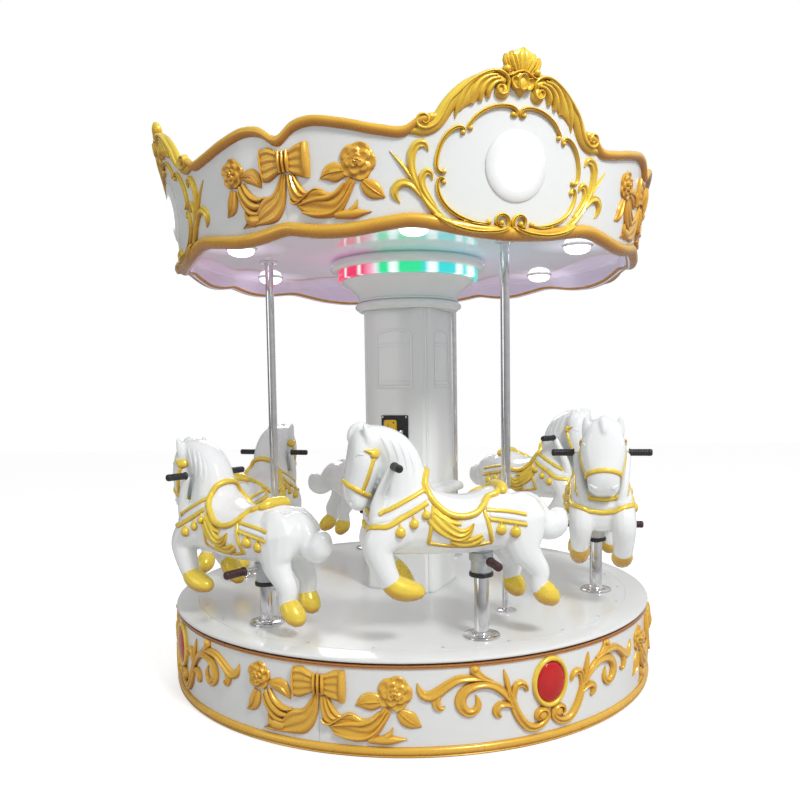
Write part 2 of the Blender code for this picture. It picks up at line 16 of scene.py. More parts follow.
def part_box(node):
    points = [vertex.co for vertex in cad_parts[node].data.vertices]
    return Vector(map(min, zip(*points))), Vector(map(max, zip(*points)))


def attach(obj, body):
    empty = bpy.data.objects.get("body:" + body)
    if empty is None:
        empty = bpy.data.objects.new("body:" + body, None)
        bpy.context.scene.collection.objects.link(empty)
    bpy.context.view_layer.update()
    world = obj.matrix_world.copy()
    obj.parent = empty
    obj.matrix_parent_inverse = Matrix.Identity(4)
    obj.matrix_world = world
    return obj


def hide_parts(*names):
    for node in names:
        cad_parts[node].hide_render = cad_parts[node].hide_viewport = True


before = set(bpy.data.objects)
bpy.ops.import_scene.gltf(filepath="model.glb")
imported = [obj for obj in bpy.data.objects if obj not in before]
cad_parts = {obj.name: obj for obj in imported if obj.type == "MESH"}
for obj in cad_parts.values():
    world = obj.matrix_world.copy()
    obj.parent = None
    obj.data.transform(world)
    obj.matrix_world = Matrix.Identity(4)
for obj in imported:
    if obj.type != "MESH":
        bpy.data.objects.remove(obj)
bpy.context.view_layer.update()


# Studio: a plain white floor under soft overhead light, and the camera at standing
# height in front of the carousel. Nothing here belongs to the object.
def studio_floor():
    half = 14.0
    mesh = bpy.data.meshes.new("studio_floor")
    mesh.from_pydata([(-half, -half, 0.0), (half, -half, 0.0), (half, half, 0.0), (-half, half, 0.0)],
                     [], [(0, 1, 2, 3)])
    floor = bpy.data.objects.new("studio_floor", mesh)
    bpy.context.scene.collection.objects.link(floor)
    floor.location.z = -0.0005
    material = bpy.data.materials.new("studio_paint")
    material.use_nodes = True
    nodes = material.node_tree.nodes
    links = material.node_tree.links
    shader = nodes["Principled BSDF"]
    grain = nodes.new("ShaderNodeTexNoise")
    grain.inputs["Scale"].default_value = 0.6
    tone = nodes.new("ShaderNodeValToRGB")
    tone.color_ramp.elements[0].color = (0.58, 0.58, 0.58, 1.0)
    tone.color_ramp.elements[1].color = (0.62, 0.62, 0.62, 1.0)
    links.new(grain.outputs["Fac"], tone.inputs["Fac"])
    links.new(tone.outputs["Color"], shader.inputs["Base Color"])
    shader.inputs["Roughness"].default_value = 0.9
    shader.inputs["Specular IOR Level"].default_value = 0.1
    seen = nodes.new("ShaderNodeLightPath")
    links.new(seen.outputs["Is Camera Ray"], shader.inputs["Emission Color"])
    shader.inputs["Emission Strength"].default_value = 0.62
    mesh.materials.append(material)


def studio_light(name, place, aim, size, power, color=(1.0, 1.0, 1.0)):
    lamp = bpy.data.lights.new(name, "AREA")
    lamp.shape = "DISK"
    lamp.size = size
    lamp.energy = power
    lamp.color = color
    item = bpy.data.objects.new(name, lamp)
    bpy.context.scene.collection.objects.link(item)
    item.location = place
    item.rotation_euler = (Vector(aim) - Vector(place)).to_track_quat("-Z", "Y").to_euler()


def studio_world():
    world = bpy.data.worlds.new("studio_world")
    bpy.context.scene.world = world
    world.use_nodes = True
    nodes = world.node_tree.nodes
    links = world.node_tree.links
    surround = nodes["Background"]
    surround.inputs["Strength"].default_value = 1.0
    where = nodes.new("ShaderNodeTexCoord")
    axes = nodes.new("ShaderNodeSeparateXYZ")
    links.new(where.outputs["Generated"], axes.inputs["Vector"])
    height = nodes.new("ShaderNodeMapRange")
    height.inputs["From Min"].default_value = -0.3
    height.inputs["From Max"].default_value = 0.8
    height.inputs["To Min"].default_value = 0.26
    height.inputs["To Max"].default_value = 0.72
    links.new(axes.outputs["Z"], height.inputs["Value"])
    sideways = nodes.new("ShaderNodeMapRange")
    sideways.inputs["From Min"].default_value = -0.9
    sideways.inputs["From Max"].default_value = 0.9
    sideways.inputs["To Min"].default_value = 0.55
    sideways.inputs["To Max"].default_value = 1.25
    links.new(axes.outputs["X"], sideways.inputs["Value"])
    glow = nodes.new("ShaderNodeMath")
    glow.operation = "MULTIPLY"
    links.new(height.outputs["Result"], glow.inputs[0])
    links.new(sideways.outputs["Result"], glow.inputs[1])
    links.new(glow.outputs["Value"], surround.inputs["Color"])
    paper = nodes.new("ShaderNodeBackground")
    paper.inputs["Color"].default_value = (1.0, 1.0, 1.0, 1.0)
    seen = nodes.new("ShaderNodeLightPath")
    either = nodes.new("ShaderNodeMixShader")
    links.new(seen.outputs["Is Camera Ray"], either.inputs["Fac"])
    links.new(surround.outputs["Background"], either.inputs[1])
    links.new(paper.outputs["Background"], either.inputs[2])
    links.new(either.outputs["Shader"], nodes["World Output"].inputs["Surface"])


def studio_camera():
    lens = bpy.data.cameras.new("camera")
    camera = bpy.data.objects.new("camera", lens)
    bpy.context.scene.collection.objects.link(camera)
    lens.sensor_width = 36.0
    lens.lens = 34.56
    lens.shift_x = -0.0127
    lens.shift_y = 0.0537
    pitch = 0.0663
    roll = -0.0139
    camera.matrix_world = (Matrix.Translation((0.0, -3.7007, 1.2754))
                           @ Matrix.Rotation(pi / 2 - pitch, 4, "X") @ Matrix.Rotation(roll, 4, "Z"))
    bpy.context.scene.camera = camera


studio_floor()
studio_world()
studio_light("key_light", (2.4, -4.4, 5.0), (0.0, 0.0, 1.2), 1.2, 195.0)
studio_light("fill_light", (-4.4, -3.0, 2.2), (0.0, 0.0, 1.0), 2.6, 22.0)
studio_light("back_light", (-1.0, 4.8, 4.0), (0.0, 0.0, 1.3), 2.6, 90.0)
studio_camera()
bpy.context.scene.view_settings.view_transform = "Standard"
bpy.context.scene.view_settings.look = "None"


# Base drum: a steel floor plate with a rolled gold rim round it, four white
# glass-fibre skirt panels standing on the rim, and a flat gold rim along their top.
class Finish:
    """A finish while it is mixed: its material, shader and the steps that vary them."""

    def __init__(self, name, plain_values):
        self.material = bpy.data.materials.new(name)
        self.material.use_nodes = True
        self.nodes = self.material.node_tree.nodes
        self.links = self.material.node_tree.links
        self.shader = self.nodes["Principled BSDF"]
        for socket, value in plain_values.items():
            self.shader.inputs[socket].default_value = value

    def lead(self, source, socket):
        """Leads a varying value or colour to the shader."""
        self.links.new(source, self.shader.inputs[socket])

    def place(self):
        """Where a spot lies, in the metres of the piece itself."""
        return self.nodes.new("ShaderNodeTexCoord").outputs["Object"]

    def axes(self, source):
        """The three parts of a place or a direction."""
        split = self.nodes.new("ShaderNodeSeparateXYZ")
        self.links.new(source, split.inputs["Vector"])
        return split.outputs

    def cloud(self, scale, detail=3.0):
        """Soft cloud pattern."""
        noise = self.nodes.new("ShaderNodeTexNoise")
        noise.inputs["Scale"].default_value = scale
        noise.inputs["Detail"].default_value = detail
        self.links.new(self.place(), noise.inputs["Vector"])
        return noise.outputs["Fac"]

    def nooks(self, reach):
        """How open a spot is: 0 deep in a corner, 1 on a free face."""
        shade = self.nodes.new("ShaderNodeAmbientOcclusion")
        shade.samples = 6
        shade.inputs["Distance"].default_value = reach
        return shade.outputs["AO"]

    def tones(self, source, *stops):
        """Colours or greys along a source value, from (place, tone) pairs."""
        ramp = self.nodes.new("ShaderNodeValToRGB")
        while len(ramp.color_ramp.elements) < len(stops):
            ramp.color_ramp.elements.new(0.5)
        for element, (place, tone) in zip(ramp.color_ramp.elements, stops):
            element.position = place
            element.color = (*tone, 1.0) if isinstance(tone, tuple) else (tone, tone, tone, 1.0)
        self.links.new(source, ramp.inputs["Fac"])
        return ramp.outputs["Color"]

    def blend(self, first, second, way="MULTIPLY"):
        """Two colours multiplied or added."""
        mix = self.nodes.new("ShaderNodeMix")
        mix.data_type = "RGBA"
        mix.blend_type = way
        mix.inputs["Factor"].default_value = 1.0
        self.links.new(first, mix.inputs["A"])
        self.links.new(second, mix.inputs["B"])
        return mix.outputs["Result"]

    def waves(self, scale, strength, distance):
        """Shallow unevenness of the surface."""
        bump = self.nodes.new("ShaderNodeBump")
        bump.inputs["Strength"].default_value = strength
        bump.inputs["Distance"].default_value = distance
        self.links.new(self.cloud(scale, 2.0), bump.inputs["Height"])
        self.lead(bump.outputs["Normal"], "Normal")


def gelcoat_white(name, *stops):
    """White gelcoat: glossy, slightly wavy, with painted shade that greys it in its corners."""
    coat = Finish(name, {"Coat Weight": 0.35, "Coat Roughness": 0.06, "IOR": 1.5})
    # painted shade: greyer tones where a spot is shut in by nearby surfaces
    painted_corner_shade = coat.tones(coat.nooks(0.05), *stops)
    cloud = coat.tones(coat.cloud(2.5), (0.3, (0.97, 0.98, 0.985)), (0.7, (1.0, 1.0, 1.0)))
    coat.lead(coat.blend(painted_corner_shade, cloud), "Base Color")
    coat.lead(coat.tones(coat.cloud(9.0), (0.3, 0.17), (0.7, 0.23)), "Roughness")
    coat.waves(5.0, 0.05, 0.003)
    return coat.material


def paint_gold(name, *stops):
    """Gold paint with painted shade: copper in the hollows and along the undersides, where shade falls."""
    paint = Finish(name, {"Metallic": 0.20, "Coat Weight": 0.35, "Coat Roughness": 0.10, "IOR": 1.5})
    # painted shade: copper and darker gold where a spot is shut in
    painted_hollow_shade = paint.tones(paint.nooks(0.014), *stops)
    # painted shade: darker and redder on faces that look down
    level = paint.nodes.new("ShaderNodeMapRange")
    level.inputs["From Min"].default_value = -1.0
    facing = paint.nodes.new("ShaderNodeNewGeometry").outputs["Normal"]
    paint.links.new(paint.axes(facing)["Z"], level.inputs["Value"])
    painted_underside_shade = paint.tones(level.outputs["Result"], (0.05, (0.46, 0.30, 0.30)), (0.30, (0.74, 0.58, 0.50)),
                        (0.48, (0.97, 0.93, 0.89)), (0.60, (1.0, 1.0, 1.0)))
    cloud = paint.tones(paint.cloud(9.0), (0.3, (0.94, 0.91, 0.88)), (0.7, (1.0, 1.0, 1.0)))
    paint.lead(paint.blend(paint.blend(painted_hollow_shade, painted_underside_shade), cloud), "Base Color")
    paint.lead(paint.tones(paint.cloud(22.0), (0.3, 0.24), (0.7, 0.34)), "Roughness")
    paint.waves(22.0, 0.06, 0.002)
    return paint.material


def plain_coat(name, dark, light, rough, metal, scale):
    """A finish with a small play between two tones and two roughnesses."""
    coat = Finish(name, {"Metallic": metal})
    coat.lead(coat.tones(coat.cloud(scale), (0.35, dark), (0.65, light)), "Base Color")
    coat.lead(coat.tones(coat.cloud(scale * 3.0), (0.3, rough * 0.85), (0.7, rough * 1.2)), "Roughness")
    return coat.material


# the grey stops, for spots shut in by nearby surfaces, are painted shade
WHITE = gelcoat_white("white_gelcoat_finish", (0.0, (0.44, 0.48, 0.49)), (0.45, (0.74, 0.78, 0.775)),
                      (0.85, (0.87, 0.885, 0.88)))
# deeper, more orange gold for the base and the crown's rolls and bows: partly its own tone, partly painted
# shade where less light falls
AMBER_SHADED_GOLD = paint_gold("amber_shaded_gold_finish", (0.12, (0.26, 0.075, 0.012)), (0.36, (0.52, 0.21, 0.022)),
                        (0.62, (0.80, 0.43, 0.038)), (0.88, (0.92, 0.55, 0.065)))
# painted shade: the top rim's gold darkened to copper where it lies under the deck's lip
UNDERLIP_SHADE_GOLD = paint_gold("underlip_shade_gold_finish", (0.15, (0.20, 0.055, 0.015)), (0.45, (0.42, 0.16, 0.04)),
                         (0.90, (0.62, 0.28, 0.08)))
DARK_STEEL = plain_coat("dark_steel_finish", (0.10, 0.10, 0.11), (0.15, 0.15, 0.16), 0.55, 0.6, 8.0)


def polar(radius, angle, height):
    """Point at an angle round the carousel."""
    turn = radians(angle)
    return (radius * sin(turn), -radius * cos(turn), height)


def shell(name, verts, faces):
    """A closed mesh with its faces turned outwards."""
    mesh = bpy.data.meshes.new(name)
    mesh.from_pydata([tuple(v) for v in verts], [], faces)
    bm = bmesh.new()
    bm.from_mesh(mesh)
    bmesh.ops.recalc_face_normals(bm, faces=bm.faces)
    bm.to_mesh(mesh)
    bm.free()
    return mesh


def coated(mesh, material, sharp):
    """Gives a mesh its finish and soft faces, edges over the sharp angle kept."""
    mesh.shade_smooth()
    mesh.set_sharp_from_angle(angle=radians(sharp))
    mesh.materials.append(material)
    return mesh


def mount(name, mesh, body, slot, replaced=(), place=None):
    """Sets a piece in place, ties it to its body and hides the nodes it replaces; its slot is not used."""
    item = bpy.data.objects.new(name, mesh)
    bpy.context.scene.collection.objects.link(item)
    if place is not None:
        item.matrix_world = place
    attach(item, body)
    if replaced:
        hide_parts(*replaced)


def put(name, verts, faces, material, body, slot, replaced=(), sharp=40.0, place=None):
    """Makes a piece from points and faces and mounts it."""
    mount(name, coated(shell(name, verts, faces), material, sharp), body, slot, replaced, place)


def repaint(node, material):
    """Gives a node of the frame its finish, shape unchanged."""
    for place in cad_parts[node].material_slots:
        place.material = material


def ring_skin(rings, loop=False):
    """Points and faces of a closed skin over rings, capped unless it runs in a loop."""
    count = len(rings[0])
    verts = [tuple(point) for ring in rings for point in ring]
    faces = []
    rows = len(rings)
    for row in range(rows if loop else rows - 1):
        low = row * count
        high = (row + 1) % rows * count
        for k in range(count):
            nxt = (k + 1) % count
            faces.append((low + k, low + nxt, high + nxt, high + k))
    if not loop:
        faces.append(tuple(range(count))[::-1])
        faces.append(tuple(range((rows - 1) * count, rows * count)))
    return verts, faces


def turned(profile, steps, loop=False):
    """Skin of a profile of radius and height pairs turned round the carousel's axis."""
    rings = [[polar(r, 360.0 * k / steps, z) for k in range(steps)] for r, z in profile]
    return ring_skin(rings, loop)


def arc(middle, height, out, rise, first, last, steps):
    """Profile points along part of an oval, between two angles in degrees."""
    points = []
    for k in range(steps + 1):
        swing = radians(first + (last - first) * k / steps)
        points.append((middle + out * cos(swing), height + rise * sin(swing)))
    return points


# quarters of the base and the crown, and how far each is turned
QUARTERS = {"front_right": 0.0, "back_right": 90.0, "back_left": 180.0, "front_left": 270.0}
SEAT_GAP = 0.0003
SKIRT_RADIUS = 1.092
SKIRT_BACK = 1.080
SKIRT_TOP = 0.3137
SKIRT_SEAM = -18.0
RIM_BACK = 1.0783
RIM_TOP = 0.036
DECK_UNDER = 0.333
ROUND_STEPS = 240
PANEL_STEPS = 60
repaint("base_floor", DARK_STEEL)
repaint("centre_bearing", DARK_STEEL)
rim_profile = [(RIM_BACK, 0.0), (SKIRT_RADIUS + 0.007, 0.0), (SKIRT_RADIUS + 0.011, 0.004)]
rim_profile += arc(SKIRT_RADIUS + 0.003, 0.0205, 0.011, 0.0148, -60.0, 90.0, 8)
rim_profile += [(SKIRT_RADIUS - 0.001, RIM_TOP), (RIM_BACK, RIM_TOP)]
put("rolled_bottom_rim", *turned(rim_profile, ROUND_STEPS, loop=True), AMBER_SHADED_GOLD, "base", "gold_paint",
    ("base_bottom_rim",))
top_rim = [(SKIRT_BACK, 0.3145)]
top_rim += [(SKIRT_RADIUS + out, height) for out, height in (
    (0.0040, 0.3145), (0.0050, 0.3155), (0.0050, 0.3195), (0.0028, 0.3205), (0.0028, 0.3220),
    (0.0050, 0.3230), (0.0050, 0.3265), (0.0035, 0.3275))]
top_rim.append((SKIRT_BACK, 0.3275))
put("flat_top_rim", *turned(top_rim, ROUND_STEPS, loop=True), UNDERLIP_SHADE_GOLD, "base", "gold_paint",
    ("base_top_rim",))
for quarter, turn in QUARTERS.items():
    low = RIM_TOP + SEAT_GAP
    section = ((SKIRT_RADIUS, low), (SKIRT_RADIUS, SKIRT_TOP), (SKIRT_BACK, SKIRT_TOP), (SKIRT_BACK, low))
    rings = []
    for k in range(PANEL_STEPS + 1):
        angle = SKIRT_SEAM + turn + 0.02 + 89.96 * k / PANEL_STEPS
        rings.append([polar(r, angle, z) for r, z in section])
    put("skirt_panel_" + quarter, *ring_skin(rings), WHITE, "base", "white_gelcoat",
        ("base_skirt_" + quarter,))


# Skirt ornament: scrolls, bows, ribbons and roses cast in relief with the panels
# and painted gold. They stand 6 to 18 mm proud and repeat every quarter turn.
def gather(parts):
    """One set of points and faces from several."""
    verts = []
    faces = []
    for part_verts, part_faces in parts:
        start = len(verts)
        verts.extend(part_verts)
        faces.extend(tuple(start + k for k in face) for face in part_faces)
    return verts, faces


def curve_through(rows, spacing, dims=2):
    """Rows spaced evenly along a smooth curve through the given rows."""
    rows = np.array(rows, float)
    steps = np.linalg.norm(np.diff(rows[:, :dims], axis=0), axis=1)
    gaps = np.sqrt(np.maximum(steps, 1e-9))
    slopes = np.diff(rows, axis=0) / gaps[:, None]
    tangents = np.empty_like(rows)
    tangents[0] = slopes[0]
    tangents[-1] = slopes[-1]
    weights = gaps[:-1] + gaps[1:]
    tangents[1:-1] = (slopes[:-1] * gaps[1:, None] + slopes[1:] * gaps[:-1, None]) / weights[:, None]
    fine = []
    for k, gap in enumerate(gaps):
        for t in np.linspace(0.0, 1.0, 17)[:16]:
            leaving = (2 * t ** 3 - 3 * t ** 2 + 1) * rows[k] + (t ** 3 - 2 * t ** 2 + t) * gap * tangents[k]
            arriving = (3 * t ** 2 - 2 * t ** 3) * rows[k + 1] + (t ** 3 - t ** 2) * gap * tangents[k + 1]
            fine.append(leaving + arriving)
    fine.append(rows[-1])
    fine = np.array(fine)
    run = np.concatenate(([0.0], np.cumsum(np.linalg.norm(np.diff(fine[:, :dims], axis=0), axis=1))))
    count = max(3, int(ceil(run[-1] / spacing)) + 1)
    places = np.linspace(0.0, run[-1], count)
    return np.stack([np.interp(places, run, fine[:, c]) for c in range(rows.shape[1])], axis=1)


def spread(edge, count):
    """An edge's points, spaced evenly to a given number."""
    share = np.linspace(0.0, 1.0, count)
    return np.stack([np.interp(share, np.linspace(0, 1, len(edge)), edge[:, c]) for c in range(2)], axis=1)


# Section shapes of the relief: place across from 0 to 1, and share of full height
ROUND = ((0.0, -1.0), (0.03, 0.35), (0.14, 0.70), (0.32, 0.94), (0.5, 1.0), (0.68, 0.94), (0.86, 0.70),
         (0.97, 0.35), (1.0, -1.0))
RIDGE = ((0.0, -1.0), (0.03, 0.45), (0.12, 0.72), (0.24, 0.92), (0.36, 1.0), (0.48, 0.86), (0.60, 0.62),
         (0.74, 0.60), (0.86, 0.66), (0.97, 0.40), (1.0, -1.0))
LEAF = ((0.0, -1.0), (0.03, 0.35), (0.15, 0.62), (0.30, 0.66), (0.44, 0.62), (0.5, 1.0), (0.56, 0.62),
        (0.70, 0.66), (0.85, 0.62), (0.97, 0.35), (1.0, -1.0))
TWIN = ((0.0, -1.0), (0.04, 0.50), (0.16, 0.90), (0.30, 1.0), (0.42, 0.70), (0.5, 0.45), (0.58, 0.55),
        (0.70, 0.80), (0.84, 0.72), (0.96, 0.40), (1.0, -1.0))
FOLDS = ((0.0, -1.0), (0.02, 0.40), (0.08, 0.78), (0.15, 0.90), (0.23, 0.66), (0.30, 0.50), (0.37, 0.72),
         (0.46, 1.0), (0.55, 0.82), (0.63, 0.55), (0.70, 0.62), (0.78, 0.88), (0.86, 0.84), (0.93, 0.62),
         (0.98, 0.36), (1.0, -1.0))
ROOT = -0.0025


def band(edge_a, edge_b, lifts, section, lay, both=False):
    """Closed relief between two edges, with the section's crests running along it."""
    rings = []
    for a, b, lift in zip(edge_a, edge_b, lifts):
        front = []
        back = []
        for across, share in section:
            x, z = a + (b - a) * across
            if share < 0.0:
                front.append(lay(x, z, 0.0 if both else ROOT))
            else:
                front.append(lay(x, z, lift * share))
                back.append(lay(x, z, -lift * share))
        rings.append(front + (back[::-1] if both else []))
    return ring_skin(rings)


def stroke(rows, section, lay, flip=1.0, shift=(0.0, 0.0), spacing=0.006, both=False):
    """Relief along a path of (across, up, width, height) in millimetres."""
    path = curve_through(np.array(rows, float) / 1000.0, spacing)
    path[:, 0] = path[:, 0] * flip + shift[0]
    path[:, 1] += shift[1]
    along = np.gradient(path[:, :2], axis=0)
    along /= np.maximum(np.linalg.norm(along, axis=1), 1e-9)[:, None]
    side = np.stack([-along[:, 1], along[:, 0]], axis=1) * flip
    half = np.maximum(path[:, 2], 0.0012)[:, None] / 2
    return band(path[:, :2] + side * half, path[:, :2] - side * half, path[:, 3], section, lay, both)


def cloth(upper, lower, height, lay, shift, section=FOLDS, ends=0.55, spacing=0.007):
    """Draped cloth between an upper and a lower edge, lower at its two ends."""
    edges = [curve_through(np.array(rows, float) / 1000.0, spacing) for rows in (upper, lower)]
    count = max(len(edge) for edge in edges)
    edges = [spread(edge, count) + np.array(shift) for edge in edges]
    swell = np.sin(pi * np.linspace(0.0, 1.0, count)) ** 0.7
    lifts = height / 1000.0 * (ends + (1.0 - ends) * swell)
    return band(*edges, lifts, section, lay)


def boss(x, z, radius, height, lay, squash=1.0, both=False):
    """Round knob on the sheet, millimetres."""
    rings = []
    steps = 14
    layers = ((1.0, ROOT), (0.98, 0.30), (0.88, 0.62), (0.66, 0.86), (0.36, 0.97), (0.06, 1.0))
    if both:
        layers = tuple((size, -share) for size, share in layers[:0:-1]) + ((1.0, 0.0),) + layers[1:]
    for size, share in layers:
        lift = share if share == ROOT else share * height / 1000.0
        rings.append([lay(x / 1000.0 + radius * size * cos(2 * pi * k / steps) / 1000.0,
                          z / 1000.0 + radius * size * squash * sin(2 * pi * k / steps) / 1000.0, lift)
                      for k in range(steps)])
    return ring_skin(rings)


def rose(x, z, radius, height, lay, turn=0.0):
    """Open rose: three rounds of cupped petals about a rolled heart, millimetres."""
    petals = []
    for count, reach, size, low, offset in ((5, 0.66, 0.44, 0.18, 0.0), (5, 0.42, 0.34, 0.46, 36.0),
                                            (3, 0.20, 0.24, 0.70, 20.0)):
        for k in range(count):
            heading = radians(turn + offset + 360.0 * k / count)
            petals.append((reach * cos(heading), reach * sin(heading), size, low, heading))
    steps = 56
    layers = 17
    rings = []
    for layer in range(layers):
        ring = []
        for k in range(steps):
            heading = 2 * pi * k / steps
            reach = 1.0 + 0.08 * abs(cos(2.5 * (heading - radians(turn)))) - 0.05
            share = 1.0 - layer / (layers - 1) * 0.985
            px = reach * share * cos(heading)
            pz = reach * share * sin(heading)
            lift = 0.10
            for cx, cz, size, low, aim in petals:
                gap = hypot(px - cx, pz - cz) / size
                if gap < 1.0:
                    outward = ((px - cx) * cos(aim) + (pz - cz) * sin(aim)) / size
                    rim = low + 0.26 * (gap ** 2) + 0.12 * outward
                    lift = max(lift, rim * (1.0 - gap ** 8))
            heart = hypot(px, pz) / 0.15
            if heart < 1.0:
                lift = max(lift, 0.90 + 0.10 * cos(3 * heading + 5 * heart))
            lift = lift * height / 1000.0 if layer else ROOT
            ring.append(lay((x + radius * px) / 1000.0, (z + radius * pz) / 1000.0, lift))
        rings.append(ring)
    return ring_skin(rings)


def skirt_sheet(quarter_angle):
    """Lays a flat ornament on the skirt about an angle."""
    def lay(x, z, lift):
        return polar(SKIRT_RADIUS + lift, quarter_angle + degrees(x / SKIRT_RADIUS), z)
    return lay


PLEATS = ((0.0, -1.0), (0.02, 0.40), (0.08, 0.86), (0.14, 1.0), (0.20, 0.80), (0.25, 0.66), (0.31, 0.84),
          (0.38, 0.96), (0.45, 0.78), (0.50, 0.66), (0.56, 0.84), (0.63, 0.96), (0.70, 0.76), (0.75, 0.66),
          (0.82, 0.88), (0.90, 0.90), (0.98, 0.45), (1.0, -1.0))
# Ribbon group, millimetres from its bow's knot, across and up: upper edge, lower edge, height
BOW_RIBBONS = (
    (((-16, -30), (-30, -53), (-50, -80), (-70, -96), (-96, -99), (-120, -108), (-145, -140), (-170, -160),
      (-205, -172), (-216, -182)),
     ((4, -35), (2, -70), (-6, -115), (-22, -155), (-52, -185), (-92, -193), (-132, -195), (-180, -198),
      (-214, -198), (-238, -194)), 13),
    (((38, -40), (52, -66), (66, -86), (80, -102), (102, -94), (122, -89), (142, -97), (162, -108),
      (188, -106), (212, -94), (232, -74), (240, -60)),
     ((8, -50), (10, -90), (20, -120), (40, -150), (66, -174), (96, -188), (130, -195), (166, -193),
      (198, -186), (224, -160), (248, -120), (266, -85)), 13),
    (((38, -36), (52, -64), (66, -84), (80, -100), (90, -104)),
     ((6, -40), (9, -90), (20, -128), (38, -137), (64, -124)), 17),
)
BOW_STROKES = (
    # folds rising to the left rose, and the cloth below them
    ((-140, -172, 30, 12), (-176, -172, 46, 15), (-200, -164, 32, 13), (-212, -138, 8, 8)),
    ((-140, -152, 12, 10), (-176, -146, 24, 15), (-205, -122, 24, 15), (-224, -92, 20, 14),
     (-234, -68, 12, 12)),
    ((-126, -128, 16, 13), (-158, -125, 30, 17), (-190, -104, 32, 18), (-212, -74, 28, 16),
     (-222, -50, 16, 12)),
    ((-106, -102, 8, 11), (-130, -106, 17, 15), (-160, -97, 20, 17), (-186, -75, 20, 16),
     (-204, -44, 14, 12)),
    # long folds of the right swag, and the edge of its upper flap
    ((14, -120, 6, 17), (26, -134, 10, 20), (44, -135, 10, 20), (66, -122, 10, 20), (90, -106, 9, 18),
     (116, -94, 8, 14), (142, -102, 5, 9)),
    ((44, -142, 10, 14), (80, -134, 18, 18), (120, -128, 22, 19), (160, -126, 22, 19), (196, -112, 20, 18),
     (226, -84, 14, 14)),
    ((58, -166, 10, 13), (96, -176, 18, 17), (134, -180, 20, 18), (172, -176, 18, 17), (206, -156, 16, 17),
     (236, -120, 16, 15), (256, -88, 13, 13)),
    # tails
    ((184, -184, 26, 12), (222, -184, 32, 15), (256, -183, 35, 15), (290, -181, 19, 11), (320, -179, 3, 5)),
    ((246, -174, 26, 13), (260, -160, 18, 12), (270, -138, 3, 6)),
)
BOW_LEAVES = (
    ((-204, -22, 20, 11), (-178, -22, 46, 15), (-150, -26, 57, 15), (-128, -46, 40, 13), (-114, -68, 4, 5)),
    ((-262, -58, 32, 11), (-274, -94, 53, 15), (-288, -120, 47, 14), (-319, -143, 4, 5)),
    ((230, -45, 40, 11), (198, -46, 66, 15), (168, -50, 54, 14), (137, -63, 4, 5)),
    ((292, -80, 30, 11), (316, -102, 60, 15), (339, -118, 54, 14), (369, -136, 6, 6)),
)
BOW_LOOPS = (
    # upper edge, lower edge of each loop, from the knot outwards
    (((-14, 36), (-40, 50), (-62, 61), (-84, 60), (-99, 54)),
     ((-14, -28), (-45, -42), (-68, -53), (-86, -55), (-99, -49)), 18),
    (((18, 38), (45, 52), (66, 60), (84, 60)), ((18, -30), (42, -44), (64, -52), (84, -57)), 17),
)
# bands that end the loops, folds of the knot, and the roses: across, up, radius, turn
BOW_CUFFS = (
    ((-94, 57, 9, 14), (-99, 30, 11, 18), (-99, -12, 11, 18), (-95, -52, 9, 14)),
    ((88, 59, 25, 17), (89, 28, 28, 23), (89, -22, 28, 23), (88, -55, 24, 16)),
)
KNOT_FOLDS = (-12, 4, 20)
BOW_ROSES = ((-254, -2, 53, 10.0), (276, -17, 63, 70.0))


def bow_group(lay, middle, squeeze, floor_height):
    """Bow, ribbons, two roses and their leaves about a knot."""
    parts = []
    shift = (middle[0] / 1000.0, middle[1] / 1000.0)

    def fit(rows):
        """Rows squeezed to the panel and kept above its lower edge."""
        lowest = floor_height - middle[1]
        return [(row[0] * squeeze[row[0] > 0], max(row[1], lowest)) + tuple(row[2:]) for row in rows]

    for upper, lower, height in BOW_RIBBONS:
        parts.append(cloth(fit(upper), fit(lower), height, lay, shift))
    for rows in BOW_STROKES:
        parts.append(stroke(fit(rows), ROUND, lay, shift=shift))
    for rows in BOW_LEAVES:
        parts.append(stroke(fit(rows), LEAF, lay, shift=shift))
    for upper, lower, height in BOW_LOOPS:
        parts.append(cloth(fit(upper), fit(lower), height, lay, shift, PLEATS, 0.8))
    for rows in BOW_CUFFS:
        parts.append(stroke(fit(rows), ROUND, lay, shift=shift))
    for x in KNOT_FOLDS:
        rows = ((x - 2, 40, 15, 18), (x, 5, 17, 26), (x - 2, -30, 15, 18))
        parts.append(stroke(rows, ROUND, lay, shift=shift))
    for x, z, radius, turn in BOW_ROSES:
        parts.append(rose(middle[0] + x * squeeze[x > 0], middle[1] + z, radius, 26, lay, turn))
    return gather(parts)


